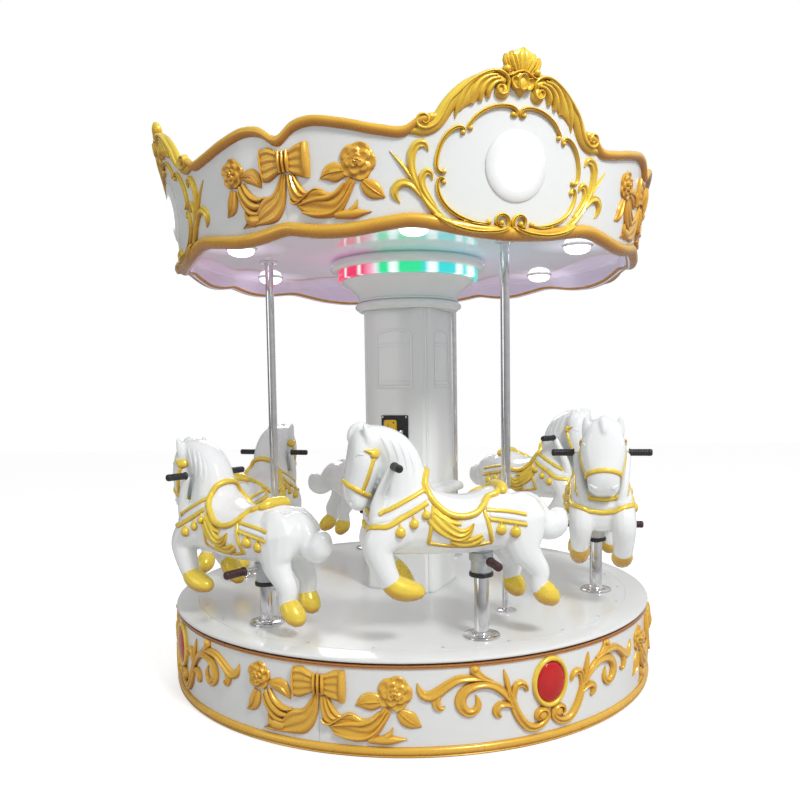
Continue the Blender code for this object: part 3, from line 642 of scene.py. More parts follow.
# Scrolls left of a gem, millimetres across from its middle and up from the floor;
# the right side is their mirror image
GEM_SCROLLS = (
    ((-172, 212, 18, 11), (-158, 176, 28, 15), (-145, 138, 33, 17), (-122, 98, 34, 18), (-92, 69, 33, 18),
     (-60, 63, 30, 17), (-30, 74, 28, 16), (-11, 96, 23, 16), (-18, 118, 20, 17), (-38, 126, 19, 18),
     (-58, 117, 17, 18), (-62, 98, 14, 18), (-50, 88, 12, 17)),
    ((-166, 178, 20, 12), (-195, 213, 30, 15), (-228, 238, 31, 17), (-262, 248, 32, 17), (-300, 245, 35, 17),
     (-333, 230, 39, 17), (-350, 202, 43, 17), (-348, 176, 41, 17), (-333, 156, 35, 16), (-312, 150, 31, 16),
     (-293, 160, 28, 15), (-286, 180, 24, 13), (-290, 198, 14, 9), (-297, 213, 3, 5)),
    ((-236, 256, 12, 11), (-276, 270, 22, 15), (-320, 274, 27, 17), (-360, 271, 31, 17), (-396, 253, 35, 17),
     (-428, 231, 40, 16), (-458, 217, 39, 15), (-482, 223, 31, 13), (-496, 243, 18, 10), (-502, 265, 3, 5)),
    ((-430, 228, 34, 13), (-437, 200, 33, 15), (-432, 178, 27, 14), (-418, 170, 17, 12), (-405, 179, 4, 6)),
    ((-244, 260, 12, 10), (-272, 274, 24, 14), (-290, 288, 32, 15), (-299, 304, 38, 15), (-299, 316, 26, 12)),
    ((-168, 196, 22, 12), (-176, 235, 21, 14), (-184, 266, 17, 12), (-190, 292, 5, 5)),
    ((-155, 168, 24, 12), (-152, 204, 27, 15), (-141, 229, 27, 17), (-122, 233, 27, 17), (-106, 221, 22, 15),
     (-100, 203, 14, 10)),
    ((-148, 148, 14, 10), (-178, 164, 22, 15), (-204, 167, 27, 17), (-220, 153, 31, 16), (-217, 135, 28, 14),
     (-204, 123, 14, 10)),
)
GEM_KNOBS = ((-36, 102, 20, 15), (-299, 306, 13, 19))
GEM_ANGLE = 27.0
BOW_ANGLE = -18.0
for quarter, turn in QUARTERS.items():
    gem_lay = skirt_sheet(GEM_ANGLE + turn)
    scrolls = []
    for flip in (1.0, -1.0):
        scrolls += [stroke(rows, RIDGE, gem_lay, flip) for rows in GEM_SCROLLS]
        scrolls += [boss(flip * x, z, radius, height, gem_lay) for x, z, radius, height in GEM_KNOBS]
    put("skirt_scrolls_" + quarter, *gather(scrolls), AMBER_SHADED_GOLD, "base", "gold_paint", sharp=60.0)
    bow_lay = skirt_sheet(BOW_ANGLE + turn)
    put("skirt_bow_" + quarter, *bow_group(bow_lay, (0.0, 245.0), (1.0, 1.0), 47.0), AMBER_SHADED_GOLD, "base",
        "gold_paint", sharp=60.0)


# Gems: domed ovals of clear red resin, each held in a gold oval frame on the skirt.
def ruby_resin():
    """Clear red resin, a little cloudy."""
    resin = Finish("red_resin_finish", {"Coat Weight": 0.25, "Coat Roughness": 0.05, "IOR": 1.45})
    resin.lead(resin.tones(resin.cloud(10.0), (0.3, (0.50, 0.006, 0.008)), (0.7, (0.62, 0.012, 0.012))),
               "Base Color")
    resin.lead(resin.tones(resin.cloud(30.0), (0.3, 0.12), (0.7, 0.2)), "Roughness")
    return resin.material


RED_RESIN = ruby_resin()
# the coppery and darker stops, for hollows, are painted shade
GOLD = paint_gold("gold_paint_finish", (0.10, (0.48, 0.20, 0.015)), (0.30, (0.80, 0.50, 0.035)),
                  (0.52, (0.97, 0.68, 0.055)), (0.80, (1.0, 0.76, 0.085)))
GEM_HEIGHT = 0.220
GEM_HALF = (0.061, 0.074)


def oval_rings(layers, steps, lay, middle):
    """Rings of an oval on the sheet, from (half width, half height, lift) layers."""
    return [[lay(wide * cos(2 * pi * k / steps), middle + tall * sin(2 * pi * k / steps), lift)
             for k in range(steps)] for wide, tall, lift in layers]


for quarter, turn in QUARTERS.items():
    gem_lay = skirt_sheet(GEM_ANGLE + turn)
    wide, tall = GEM_HALF
    dome = [(wide * cos(swing), tall * cos(swing), 0.006 + 0.014 * sin(swing))
            for swing in (radians(8.0 * k) for k in range(11))]
    dome = [(wide, tall, 0.0004)] + dome
    put("red_gem_" + quarter, *ring_skin(oval_rings(dome, 64, gem_lay, GEM_HEIGHT)), RED_RESIN, "base",
        "red_gem", ("base_gem_" + quarter,))
    setting = []
    for k in range(13):
        swing = radians(-20.0 + 220.0 * k / 12)
        setting.append((wide + 0.008 + 0.0085 * cos(swing), tall + 0.011 + 0.0105 * cos(swing),
                        0.004 + 0.011 * sin(swing)))
    setting.append((wide + 0.001, tall + 0.001, ROOT))
    setting.append((wide + 0.016, tall + 0.020, ROOT))
    put("gem_setting_" + quarter, *ring_skin(oval_rings(setting, 72, gem_lay, GEM_HEIGHT), loop=True), GOLD,
        "base", "gold_paint")


# Deck: a round glass-fibre platform with a rounded lip and fine seams, held down
# by countersunk screws near its edge.
DECK_TOP = 0.349
AXIS_HOLE = 0.002
GREY_STEEL = plain_coat("grey_steel_finish", (0.50, 0.52, 0.53), (0.62, 0.64, 0.65), 0.34, 0.6, 20.0)
deck_profile = ((AXIS_HOLE, DECK_UNDER), (1.090, DECK_UNDER), (1.0965, DECK_UNDER + 0.0015),
                (1.100, DECK_UNDER + 0.006), (1.100, DECK_TOP - 0.007), (1.0975, DECK_TOP - 0.002),
                (1.092, DECK_TOP), (1.005, DECK_TOP), (1.0045, DECK_TOP - 0.0012),
                (1.0015, DECK_TOP - 0.0012), (1.001, DECK_TOP), (AXIS_HOLE, DECK_TOP))
put("turning_deck", *turned(deck_profile, ROUND_STEPS), WHITE, "turntable", "white_gelcoat", ("deck",))


def circle(radius, height, steps, x=0.0, y=0.0):
    """Level ring of points."""
    return [(x + radius * cos(2 * pi * k / steps), y + radius * sin(2 * pi * k / steps), height)
            for k in range(steps)]


def disc(centre, radius, layers, steps=16):
    """Small turned piece standing on a level face, from (share of radius, lift) layers."""
    x, y, z = centre
    return ring_skin([circle(radius * share, z + lift, steps, x, y) for share, lift in layers])


deck_screws = []
for k in range(24):
    spot = polar(0.974, 6.4 + 15.0 * k, DECK_TOP)
    deck_screws.append(disc(spot, 0.006, ((1.0, 0.0), (0.95, 0.0010), (0.4, 0.0013), (0.35, 0.0004))))
put("deck_screws", *gather(deck_screws), GREY_STEEL, "turntable", "grey_steel")


# Column: a square glass-fibre post with ribbed corners, a ledge at hip height and
# an arched hollow in each face, standing on the deck.
COLUMN_TURN = -24.0
COLUMN_HALF = 0.168
COLUMN_CUT = 0.034
COLUMN_TOP = 1.655
COLUMN_SPIN = Matrix.Rotation(radians(COLUMN_TURN), 4, "Z")


def column_outline(half, cut, rib):
    """Outline of the column with a soft rib along each cut corner."""
    near = half - cut
    middle = (half + near) / 2
    points = []
    for quarter in range(4):
        turn = radians(90.0 * quarter)
        corner = [(half, near), (half - 0.004, near + 0.008)]
        crest = middle + rib
        corner += [(crest, middle - 0.004), (crest, crest), (middle - 0.004, crest)]
        corner += [(near + 0.008, half - 0.004), (near, half)]
        for x, y in corner:
            points.append((x * cos(turn) - y * sin(turn), x * sin(turn) + y * cos(turn)))
    return points


# half width and height of each level of the post
COLUMN_STACK = ((0.176, DECK_TOP + SEAT_GAP), (0.176, 0.362), (0.1735, 0.366), (0.1735, 0.780),
                (0.176, 0.786), (0.196, 0.792), (0.205, 0.796), (0.208, 0.803), (0.208, 0.814),
                (0.205, 0.824), (0.198, 0.832), (0.180, 0.837), (0.171, 0.842), (0.168, 0.850),
                (0.168, 1.640), (0.168, COLUMN_TOP))
rings = [[(x, y, height) for x, y in column_outline(half, COLUMN_CUT, 0.003)]
         for half, height in COLUMN_STACK]
put("square_column", *ring_skin(rings), WHITE, "turntable", "white_gelcoat", ("column",), sharp=50.0,
    place=COLUMN_SPIN)


def arch_outline(half, low, high, inset):
    """Outline of an arched field, its rise a shallow curve."""
    rise = 0.03
    half -= inset
    low += inset
    spring = high - inset - rise
    points = [(-half, low), (half, low), (half, spring)]
    for k in range(1, 12):
        turn = pi * k / 12
        points.append((half * cos(turn), spring + rise * sin(turn)))
    points.append((-half, spring))
    return points


ARCH_FIELD = (0.092, 1.294, 1.566)
ARCH_EDGE = ((0.0, -0.002), (0.0, 0.0022), (0.003, 0.0034), (0.007, 0.0034), (0.010, 0.0020), (0.011, -0.002))
LINE_EDGE = ((-0.001, -0.003), (0.0016, -0.0015), (0.0016, 0.0015), (-0.001, 0.003))
LINE_HEIGHTS = (1.3100, 1.3250, 1.4850, 1.5000)
arches = []
for face in range(4):
    turn = Matrix.Rotation(radians(COLUMN_TURN + 90.0 * face), 4, "Z")
    rings = [[turn @ Vector((x, -COLUMN_HALF - out, z)) for x, z in arch_outline(*ARCH_FIELD, inset)]
             for inset, out in ARCH_EDGE]
    arches.append(ring_skin(rings, loop=True))
    for height in LINE_HEIGHTS:
        rings = [[turn @ Vector((x, -COLUMN_HALF - out, height + rise)) for out, rise in LINE_EDGE]
                 for x in (-0.078, 0.078)]
        arches.append(ring_skin(rings))
put("column_arches", *gather(arches), WHITE, "turntable", "white_gelcoat")


# Capital and lip: turned glass-fibre mouldings, screwed up under the ceiling on
# either side of the lit band.
CEILING_LOW = 1.887
BAND_LOW = 1.800
BAND_HIGH = 1.840
TURNED_STEPS = 96
capital_profile = [(AXIS_HOLE, COLUMN_TOP + SEAT_GAP), (0.232, COLUMN_TOP + SEAT_GAP)]
capital_profile += arc(0.240, 1.6770, 0.012, 0.013, -80.0, 80.0, 6)
capital_profile += arc(0.232, 1.7010, 0.007, 0.006, -80.0, 80.0, 6)
capital_profile += [(0.2345, 1.710), (0.238, 1.722), (0.246, 1.736), (0.258, 1.749), (0.274, 1.762),
                    (0.290, 1.773), (0.302, 1.782), (0.310, 1.790), (0.314, 1.794), (0.314, 1.7985),
                    (0.310, BAND_LOW - SEAT_GAP), (AXIS_HOLE, BAND_LOW - SEAT_GAP)]
put("turned_capital", *turned(capital_profile, TURNED_STEPS), WHITE, "turntable", "white_gelcoat",
    ("column_capital",))
lip_profile = [(AXIS_HOLE, BAND_HIGH), (0.340, BAND_HIGH), (0.347, 1.8405)]
lip_profile += arc(0.354, 1.8620, 0.015, 0.0195, -75.0, 75.0, 8)
lip_profile += [(0.352, 1.8840), (0.352, CEILING_LOW - SEAT_GAP), (AXIS_HOLE, CEILING_LOW - SEAT_GAP)]
put("ceiling_lip", *turned(lip_profile, TURNED_STEPS), WHITE, "turntable", "white_gelcoat", ("column_lip",))


# Lit band: a strip of coloured light behind a frosted sleeve round the column's
# head, pink, green and cyan with white points where the lights sit.
def lit_sleeve():
    """Frosted strip lit in coloured stretches round the column."""
    strip = Finish("lit_band_finish", {"Roughness": 0.25})
    turn = strip.nodes.new("ShaderNodeMapping")
    turn.inputs["Rotation"].default_value = (0.0, 0.0, radians(90.0))
    wheel = strip.nodes.new("ShaderNodeTexGradient")
    wheel.gradient_type = "RADIAL"
    strip.links.new(strip.place(), turn.inputs["Vector"])
    strip.links.new(turn.outputs["Vector"], wheel.inputs["Vector"])
    pink = (0.80, 0.035, 0.13)
    soft = (0.85, 0.40, 0.55)
    pale = (0.75, 0.80, 0.82)
    green = (0.03, 0.72, 0.30)
    cyan = (0.05, 0.66, 0.66)
    white = (0.85, 1.0, 0.97)
    # angle from the front, and the tone there
    stretches = ((-180, cyan), (-120, cyan), (-80, pink), (-62, pink), (-59, white), (-56, pink),
                 (-44, pink), (-41, white), (-38, pink), (-29, soft), (-25, pale), (-21, green),
                 (-16, green), (-13, white), (-9, white), (-6, green), (9, green), (13, cyan),
                 (17, white), (22, white), (25, cyan), (39, cyan), (42, white), (47, white),
                 (50, cyan), (57, white), (66, white), (70, cyan), (120, green), (150, white),
                 (180, cyan))
    stops = [((angle + 180.0) / 360.0, tone) for angle, tone in stretches]
    strip.lead(strip.tones(wheel.outputs["Fac"], *stops), "Emission Color")
    unlit = [(spot, tuple(0.5 * part for part in tone)) for spot, tone in stops]
    strip.lead(strip.tones(wheel.outputs["Fac"], *unlit), "Base Color")
    strip.shader.inputs["Emission Strength"].default_value = 0.85
    return strip.material


band_profile = ((AXIS_HOLE, BAND_LOW + 0.0001), (0.3285, BAND_LOW + 0.0001), (0.330, 1.802), (0.330, 1.8375),
                (0.3285, BAND_HIGH - 0.0004), (AXIS_HOLE, BAND_HIGH - 0.0004))
put("lit_sleeve", *turned(band_profile, 128), lit_sleeve(), "turntable", "lit_band", ("light_band",))


# Coin plate: a black steel plate with a yellow coin entry, a key switch and a
# push button, held to the column's front face by four chrome screws.
CHROME = plain_coat("chrome_finish", (0.74, 0.74, 0.76), (0.82, 0.82, 0.84), 0.09, 1.0, 30.0)
YELLOW = plain_coat("yellow_plastic_finish", (0.78, 0.47, 0.015), (0.92, 0.58, 0.03), 0.30, 0.0, 30.0)
PLATE_TOP = 1.169
PLATE_FRONT = -COLUMN_HALF - 0.0063


def slab(x0, x1, z0, z1, back, out, bevel, corner=0.0, steps=4):
    """Thin block lying on the front face, its outer edge bevelled and corners rounded."""
    rings = []
    for inset, y in ((0.0, back), (0.0, back - out + bevel), (bevel, back - out)):
        ring = []
        for cx, cz, start in ((x1, z0, -90), (x1, z1, 0), (x0, z1, 90), (x0, z0, 180)):
            px = cx - (corner + 1e-5) * (1 if cx == x1 else -1)
            pz = cz - (corner + 1e-5) * (1 if cz == z1 else -1)
            for k in range(steps + 1):
                swing = radians(start + 90.0 * k / steps)
                reach = max(corner - inset, 1e-5)
                dx = -inset * (1 if cx == x1 else -1) if corner < inset else 0.0
                dz = -inset * (1 if cz == z1 else -1) if corner < inset else 0.0
                ring.append((px + dx + reach * cos(swing), y, pz + dz + reach * sin(swing)))
        rings.append(ring)
    return ring_skin(rings)


def stud(x, z, radius, front, out, steps=20):
    """Round stud on the front face."""
    layers = ((1.0, 0.0), (1.0, out * 0.7), (0.82, out), (0.3, out * 1.08))
    turns = [2 * pi * k / steps for k in range(steps)]
    return ring_skin([[(x + radius * share * cos(turn), front - y, z + radius * share * sin(turn))
                       for turn in turns] for share, y in layers])


PLATE_BLACK = plain_coat("black_plate_finish", (0.010, 0.010, 0.012), (0.020, 0.020, 0.024), 0.30, 0.2, 50.0)
panel = slab(-0.067, 0.067, PLATE_TOP - 0.160, PLATE_TOP, -COLUMN_HALF - SEAT_GAP, 0.006, 0.001, 0.003)
put("coin_panel", *panel, PLATE_BLACK, "turntable", "black_plate", ("coin_plate",), place=COLUMN_SPIN)
coin_parts = [slab(-0.052, 0.012, 1.086, 1.148, PLATE_FRONT, 0.010, 0.003, 0.010),
              slab(-0.040, -0.014, 1.098, 1.136, PLATE_FRONT - 0.010, 0.004, 0.0015, 0.006)]
put("coin_entry", *gather(coin_parts), YELLOW, "turntable", "black_plate", place=COLUMN_SPIN)
slot_parts = [slab(-0.0285, -0.0255, 1.104, 1.130, PLATE_FRONT - 0.0138, 0.0008, 0.0002),
              slab(-0.004, 0.004, 1.132, 1.138, PLATE_FRONT - 0.0098, 0.0008, 0.0002)]
put("coin_slot", *gather(slot_parts), PLATE_BLACK, "turntable", "black_plate", place=COLUMN_SPIN)
plate_metal = [stud(x, z, 0.0042, PLATE_FRONT, 0.002) for x in (-0.059, 0.059) for z in (1.017, 1.161)]
plate_metal += [stud(0.036, 1.092, 0.010, PLATE_FRONT, 0.008), stud(0.040, 1.066, 0.007, PLATE_FRONT, 0.010),
                stud(-0.020, 1.062, 0.012, PLATE_FRONT, 0.006)]
put("coin_plate_metal", *gather(plate_metal), CHROME, "turntable", "chrome_tube", place=COLUMN_SPIN)


# Support poles: three bright steel tubes between deck and ceiling, each with a
# stepped flange pushed over both its ends.
POLE_FLANGE = ((0.042, 0.0), (0.042, 0.0042), (0.040, 0.0062), (0.024, 0.0082), (0.022, 0.0167),
               (0.019, 0.0187))  # radius, and distance from the pole's end
for side in ("right", "left", "back"):
    low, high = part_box("support_pole_" + side)
    x = (low.x + high.x) / 2
    y = (low.y + high.y) / 2
    profile = [(r, DECK_TOP + SEAT_GAP + rise) for r, rise in POLE_FLANGE]
    profile += [(r, CEILING_LOW - SEAT_GAP - rise) for r, rise in POLE_FLANGE[::-1]]
    put("bright_pole_" + side, *ring_skin([circle(r, z, 40, x, y) for r, z in profile]), CHROME, "turntable",
        "chrome_tube", ("support_pole_" + side,))


# Ceiling: a flat white panel inside the foot of the crown with six small round
# lamps let into it in bright rings.
DOWNLIGHT_RING = 0.82
DOWNLIGHT_FIRST = 1.7
DOWNLIGHTS = 6


def ceiling_gloss():
    """High-gloss white with painted light: a pool of lamp light round each lamp, and the lit band's coloured
    light painted round the column, fading outwards.
    """
    gloss = Finish("ceiling_gloss_painted_glow_finish", {"Coat Weight": 0.7, "Coat Roughness": 0.03, "IOR": 1.5})

    def worked(operation, first, second=0.0):
        """One arithmetic step between values or sockets."""
        node = gloss.nodes.new("ShaderNodeMath")
        node.operation = operation
        for slot, value in enumerate((first, second)):
            if isinstance(value, float):
                node.inputs[slot].default_value = value
            else:
                gloss.links.new(value, node.inputs[slot])
        return node.outputs["Value"]

    def length(x, y):
        return worked("SQRT", worked("ADD", worked("MULTIPLY", x, x), worked("MULTIPLY", y, y)))

    spot = gloss.axes(gloss.place())
    turn = worked("ARCTAN2", spot["X"], worked("MULTIPLY", spot["Y"], -1.0))
    radius = length(spot["X"], spot["Y"])
    # angle from the nearest lamp, and how far across and along from it a spot lies
    share = radians(360.0 / DOWNLIGHTS)
    shifted = worked("ADD", turn, share * 6.5 - radians(DOWNLIGHT_FIRST))
    local = worked("SUBTRACT", worked("MODULO", shifted, share), share / 2)
    across = worked("MULTIPLY", radius, worked("SINE", local))
    along = worked("SUBTRACT", worked("MULTIPLY", radius, worked("COSINE", local)), DOWNLIGHT_RING)
    # painted light: a bright pool round each lamp
    painted_lamp_pool = gloss.tones(length(across, along), (0.03, (1.0, 1.0, 1.0)), (0.08, (0.50, 0.44, 0.56)),
                       (0.20, (0.0, 0.0, 0.0)))
    # painted light: the band's pink, green and cyan light on the ceiling, by angle round the column
    round_share = worked("ADD", worked("DIVIDE", turn, 2.0 * pi), 0.5)
    painted_band_light = gloss.tones(round_share, (0.0, (0.45, 0.24, 0.50)), (0.20, (0.50, 0.20, 0.46)),
                      (0.34, (0.62, 0.16, 0.40)), (0.42, (0.55, 0.20, 0.34)), (0.46, (0.10, 0.62, 0.36)),
                      (0.54, (0.14, 0.66, 0.52)), (0.62, (0.20, 0.62, 0.70)), (0.75, (0.40, 0.32, 0.56)),
                      (1.0, (0.45, 0.24, 0.50)))
    # painted light: the band's light strongest by the column, fading outwards
    near = gloss.tones(radius, (0.36, (0.75, 0.75, 0.75)), (0.52, (0.42, 0.42, 0.42)),
                       (0.80, (0.20, 0.20, 0.20)), (1.0, (0.42, 0.36, 0.40)))
    gloss.lead(gloss.blend(gloss.blend(painted_band_light, near), painted_lamp_pool, "ADD"), "Emission Color")
    gloss.shader.inputs["Emission Strength"].default_value = 0.55
    gloss.lead(gloss.tones(gloss.cloud(3.0), (0.3, (0.74, 0.70, 0.80)), (0.7, (0.80, 0.77, 0.84))),
               "Base Color")
    gloss.lead(gloss.tones(gloss.cloud(8.0), (0.3, 0.07), (0.7, 0.11)), "Roughness")
    return gloss.material


def lamp_glass(name, reach, *powers):
    """Lit frosted glass, brightest in its middle."""
    glass = Finish(name, {"Roughness": 0.3})
    scale = glass.nodes.new("ShaderNodeMapping")
    scale.inputs["Scale"].default_value = (1.0 / reach, 1.0 / reach, 1.0 / reach)
    falloff = glass.nodes.new("ShaderNodeTexGradient")
    falloff.gradient_type = "SPHERICAL"
    glass.links.new(glass.place(), scale.inputs["Vector"])
    glass.links.new(scale.outputs["Vector"], falloff.inputs["Vector"])
    glass.lead(glass.tones(falloff.outputs["Fac"], (0.0, (0.84, 0.85, 0.86)), (0.5, (1.0, 1.0, 1.0))),
               "Base Color")
    glass.lead(glass.tones(falloff.outputs["Fac"], *powers), "Emission Color")
    glass.shader.inputs["Emission Strength"].default_value = 2.0
    return glass.material


CEILING_GLOSS_PAINTED_GLOW = ceiling_gloss()
DOWNLIGHT = lamp_glass("downlight_glass", 0.07, (0.0, 0.9), (0.6, 1.0))
# radius and drop below the ceiling
DOWNLIGHT_DOME = ((0.056, 0.0), (0.056, -0.012), (0.050, -0.024), (0.036, -0.032), (0.018, -0.036),
                  (0.003, -0.037))
DOWNLIGHT_COLLAR = ((0.0565, 0.0), (0.0565, -0.006), (0.059, -0.0075), (0.066, -0.004), (0.068, 0.0))
repaint("canopy_ceiling", CEILING_GLOSS_PAINTED_GLOW)
for k in range(DOWNLIGHTS):
    angle = DOWNLIGHT_FIRST + 360.0 / DOWNLIGHTS * k
    spot = Matrix.Translation(polar(DOWNLIGHT_RING, angle, CEILING_LOW))
    put("downlight_glass_%d" % (k + 1), *ring_skin([circle(r, z, 32) for r, z in DOWNLIGHT_DOME]), DOWNLIGHT,
        "turntable", "lamp_disc", place=spot)
    collar = ring_skin([circle(r, z, 32) for r, z in DOWNLIGHT_COLLAR], loop=True)
    put("downlight_collar_%d" % (k + 1), *collar, CHROME, "turntable", "chrome_tube", place=spot)


# Crown: four flared wall panels of white glass fibre with a waved upper and lower
# edge, joined at their seams.
CARTOUCHE_ANGLE = 20.6
WALL_RADIUS = 1.028
WALL_FOOT = 1.850
WALL_FLARE = 0.17
WALL_THICK = 0.012
TOP_ROLL = 0.018
BOTTOM_ROLL = 0.024
# degrees from the middle of a cartouche, top edge, middle of the lower roll
CROWN_OUTLINE = ((0.0, 2.351, 1.824), (4.0, 2.346, 1.827), (7.0, 2.334, 1.831), (9.0, 2.311, 1.835),
                 (11.0, 2.276, 1.840), (13.5, 2.225, 1.848), (15.5, 2.201, 1.854), (18.3, 2.191, 1.861),
                 (20.8, 2.161, 1.862), (25.5, 2.168, 1.851), (32.0, 2.195, 1.836), (38.0, 2.213, 1.838),
                 (41.5, 2.201, 1.847), (45.0, 2.163, 1.856))
CROWN_SEAM = -24.0
ALONG_DEGREE = 0.0186


def wall_radius(height):
    return WALL_RADIUS + WALL_FLARE * (height - WALL_FOOT)


def crown_table():
    """The outline's two heights for every half degree of one eighth of a turn."""
    rows = [(-degree, top, low) for degree, top, low in CROWN_OUTLINE[4:0:-1]] + list(CROWN_OUTLINE)
    rows += [(90.0 - degree, top, low) for degree, top, low in CROWN_OUTLINE[-2:-4:-1]]
    table = curve_through([(degree * ALONG_DEGREE, top, low) for degree, top, low in rows], 0.002, 1)
    marks = np.arange(0.0, 45.01, 0.5)
    tops, lows = (np.interp(marks * ALONG_DEGREE, table[:, 0], table[:, c]) for c in (1, 2))
    return marks, tops, lows


CROWN_MARKS, CROWN_TOPS, CROWN_LOWS = crown_table()


def from_cartouche(angle):
    """Degrees from the middle of the nearest cartouche."""
    return abs((angle - CARTOUCHE_ANGLE + 45.0) % 90.0 - 45.0)


def crown_heights(angle):
    """Top edge and lower roll's middle at any angle round the carousel."""
    phase = from_cartouche(angle)
    return float(np.interp(phase, CROWN_MARKS, CROWN_TOPS)), float(np.interp(phase, CROWN_MARKS, CROWN_LOWS))


def crown_point(angle, out, height):
    return polar(wall_radius(height) + out, angle, height)


for quarter, turn in QUARTERS.items():
    rings = []
    for k in range(2 * PANEL_STEPS + 1):
        angle = CROWN_SEAM + turn + 0.02 + 89.96 * k / (2 * PANEL_STEPS)
        top, low = crown_heights(angle)
        top -= 2 * TOP_ROLL - 0.004
        low += BOTTOM_ROLL - 0.004
        heights = [low + (top - low) * level / 6 for level in range(7)]
        rings.append([crown_point(angle, 0.0, z) for z in heights]
                     + [crown_point(angle, -WALL_THICK, z) for z in heights[::-1]])
    put("crown_panel_" + quarter, *ring_skin(rings), WHITE, "turntable", "white_gelcoat",
        ("crown_wall_" + quarter,))


# Crown ornament: scrolled frames, leaf sprigs, shells, bows and roses cast in relief
# on the panels and painted gold. They repeat every quarter turn.
SHEET_RADIUS = 1.0535
SHEET_ZERO = 2003.0
CROWN_BOW_ANGLE = -23.5


def crown_sheet(middle_angle):
    """Lays a flat ornament on the flared wall and over its lower roll."""
    lean = 1.0 / hypot(1.0, WALL_FLARE)
    per_degree = radians(SHEET_RADIUS)

    def lay(x, z, lift):
        angle = middle_angle + x / per_degree
        low = crown_heights(angle)[1]
        gap = min(abs(z - low) / BOTTOM_ROLL, 1.0) if z > low else 0.0
        swell = 0.0 if gap >= 1.0 else 0.0225 * sqrt(1.0 - gap * gap)
        return polar(wall_radius(z) + swell + lift * lean, angle, z - lift * WALL_FLARE * lean)
    return lay


# Left half of a cartouche, millimetres across from its middle and up from the zero of
# its sheet; the right half is its mirror image
FRAME_STRANDS = (
    ((-24, 207, 8, 9), (-16, 200, 11, 11), (-7, 206, 12, 12), (-9, 220, 14, 13), (-26, 229, 15, 13),
     (-55, 231, 15, 13), (-88, 225, 15, 13), (-118, 212, 15, 13), (-143, 195, 15, 13), (-160, 177, 14, 12),
     (-172, 160, 13, 12), (-168, 150, 11, 11), (-160, 152, 9, 11)),
    ((-196, 134, 8, 9), (-187, 136, 10, 11), (-188, 150, 13, 12), (-205, 155, 15, 13), (-226, 146, 16, 13),
     (-246, 128, 16, 13), (-263, 102, 16, 13), (-273, 74, 16, 13), (-278, 46, 16, 13), (-275, 22, 14, 12),
     (-262, 10, 12, 12), (-249, 12, 9, 11)),
    ((-250, -24, 9, 9), (-251, -12, 11, 11), (-264, -6, 13, 12), (-273, -22, 14, 12), (-271, -48, 16, 13),
     (-260, -74, 16, 13), (-240, -99, 16, 13), (-208, -122, 16, 13), (-165, -140, 16, 13),
     (-122, -149, 15, 13), (-88, -149, 12, 12)),
    ((-262, -140, 16, 11), (-232, -158, 18, 13), (-190, -172, 18, 14), (-140, -180, 18, 14),
     (-90, -180, 18, 14), (-45, -174, 18, 14), (-16, -160, 17, 14), (-8, -140, 16, 15),
     (-19, -121, 15, 15), (-40, -116, 14, 15), (-57, -128, 12, 15), (-56, -147, 11, 16),
     (-42, -155, 9, 16), (-32, -146, 8, 16)),
)
SPRIG = (
    ((-222, -160, 14, 11), (-256, -136, 24, 14), (-290, -104, 27, 16), (-318, -72, 22, 15),
     (-336, -38, 16, 12)),
    ((-322, -70, 14, 10), (-340, -32, 20, 13), (-354, 2, 24, 15), (-361, 40, 27, 16), (-358, 76, 31, 17),
     (-341, 99, 30, 16), (-318, 100, 24, 13), (-306, 78, 5, 6)),
    ((-280, -100, 14, 10), (-307, -64, 22, 13), (-324, -32, 23, 15), (-325, -4, 26, 15), (-312, 14, 25, 14),
     (-297, 8, 19, 12), (-291, -12, 5, 7)),
    ((-322, -62, 14, 9), (-345, -26, 20, 12), (-386, 28, 15, 10), (-433, 80, 2, 4)),
    ((-308, -86, 16, 10), (-336, -54, 22, 13), (-366, -27, 26, 15), (-396, -22, 30, 15), (-418, -40, 31, 14),
     (-418, -64, 23, 12), (-402, -86, 4, 5)),
)
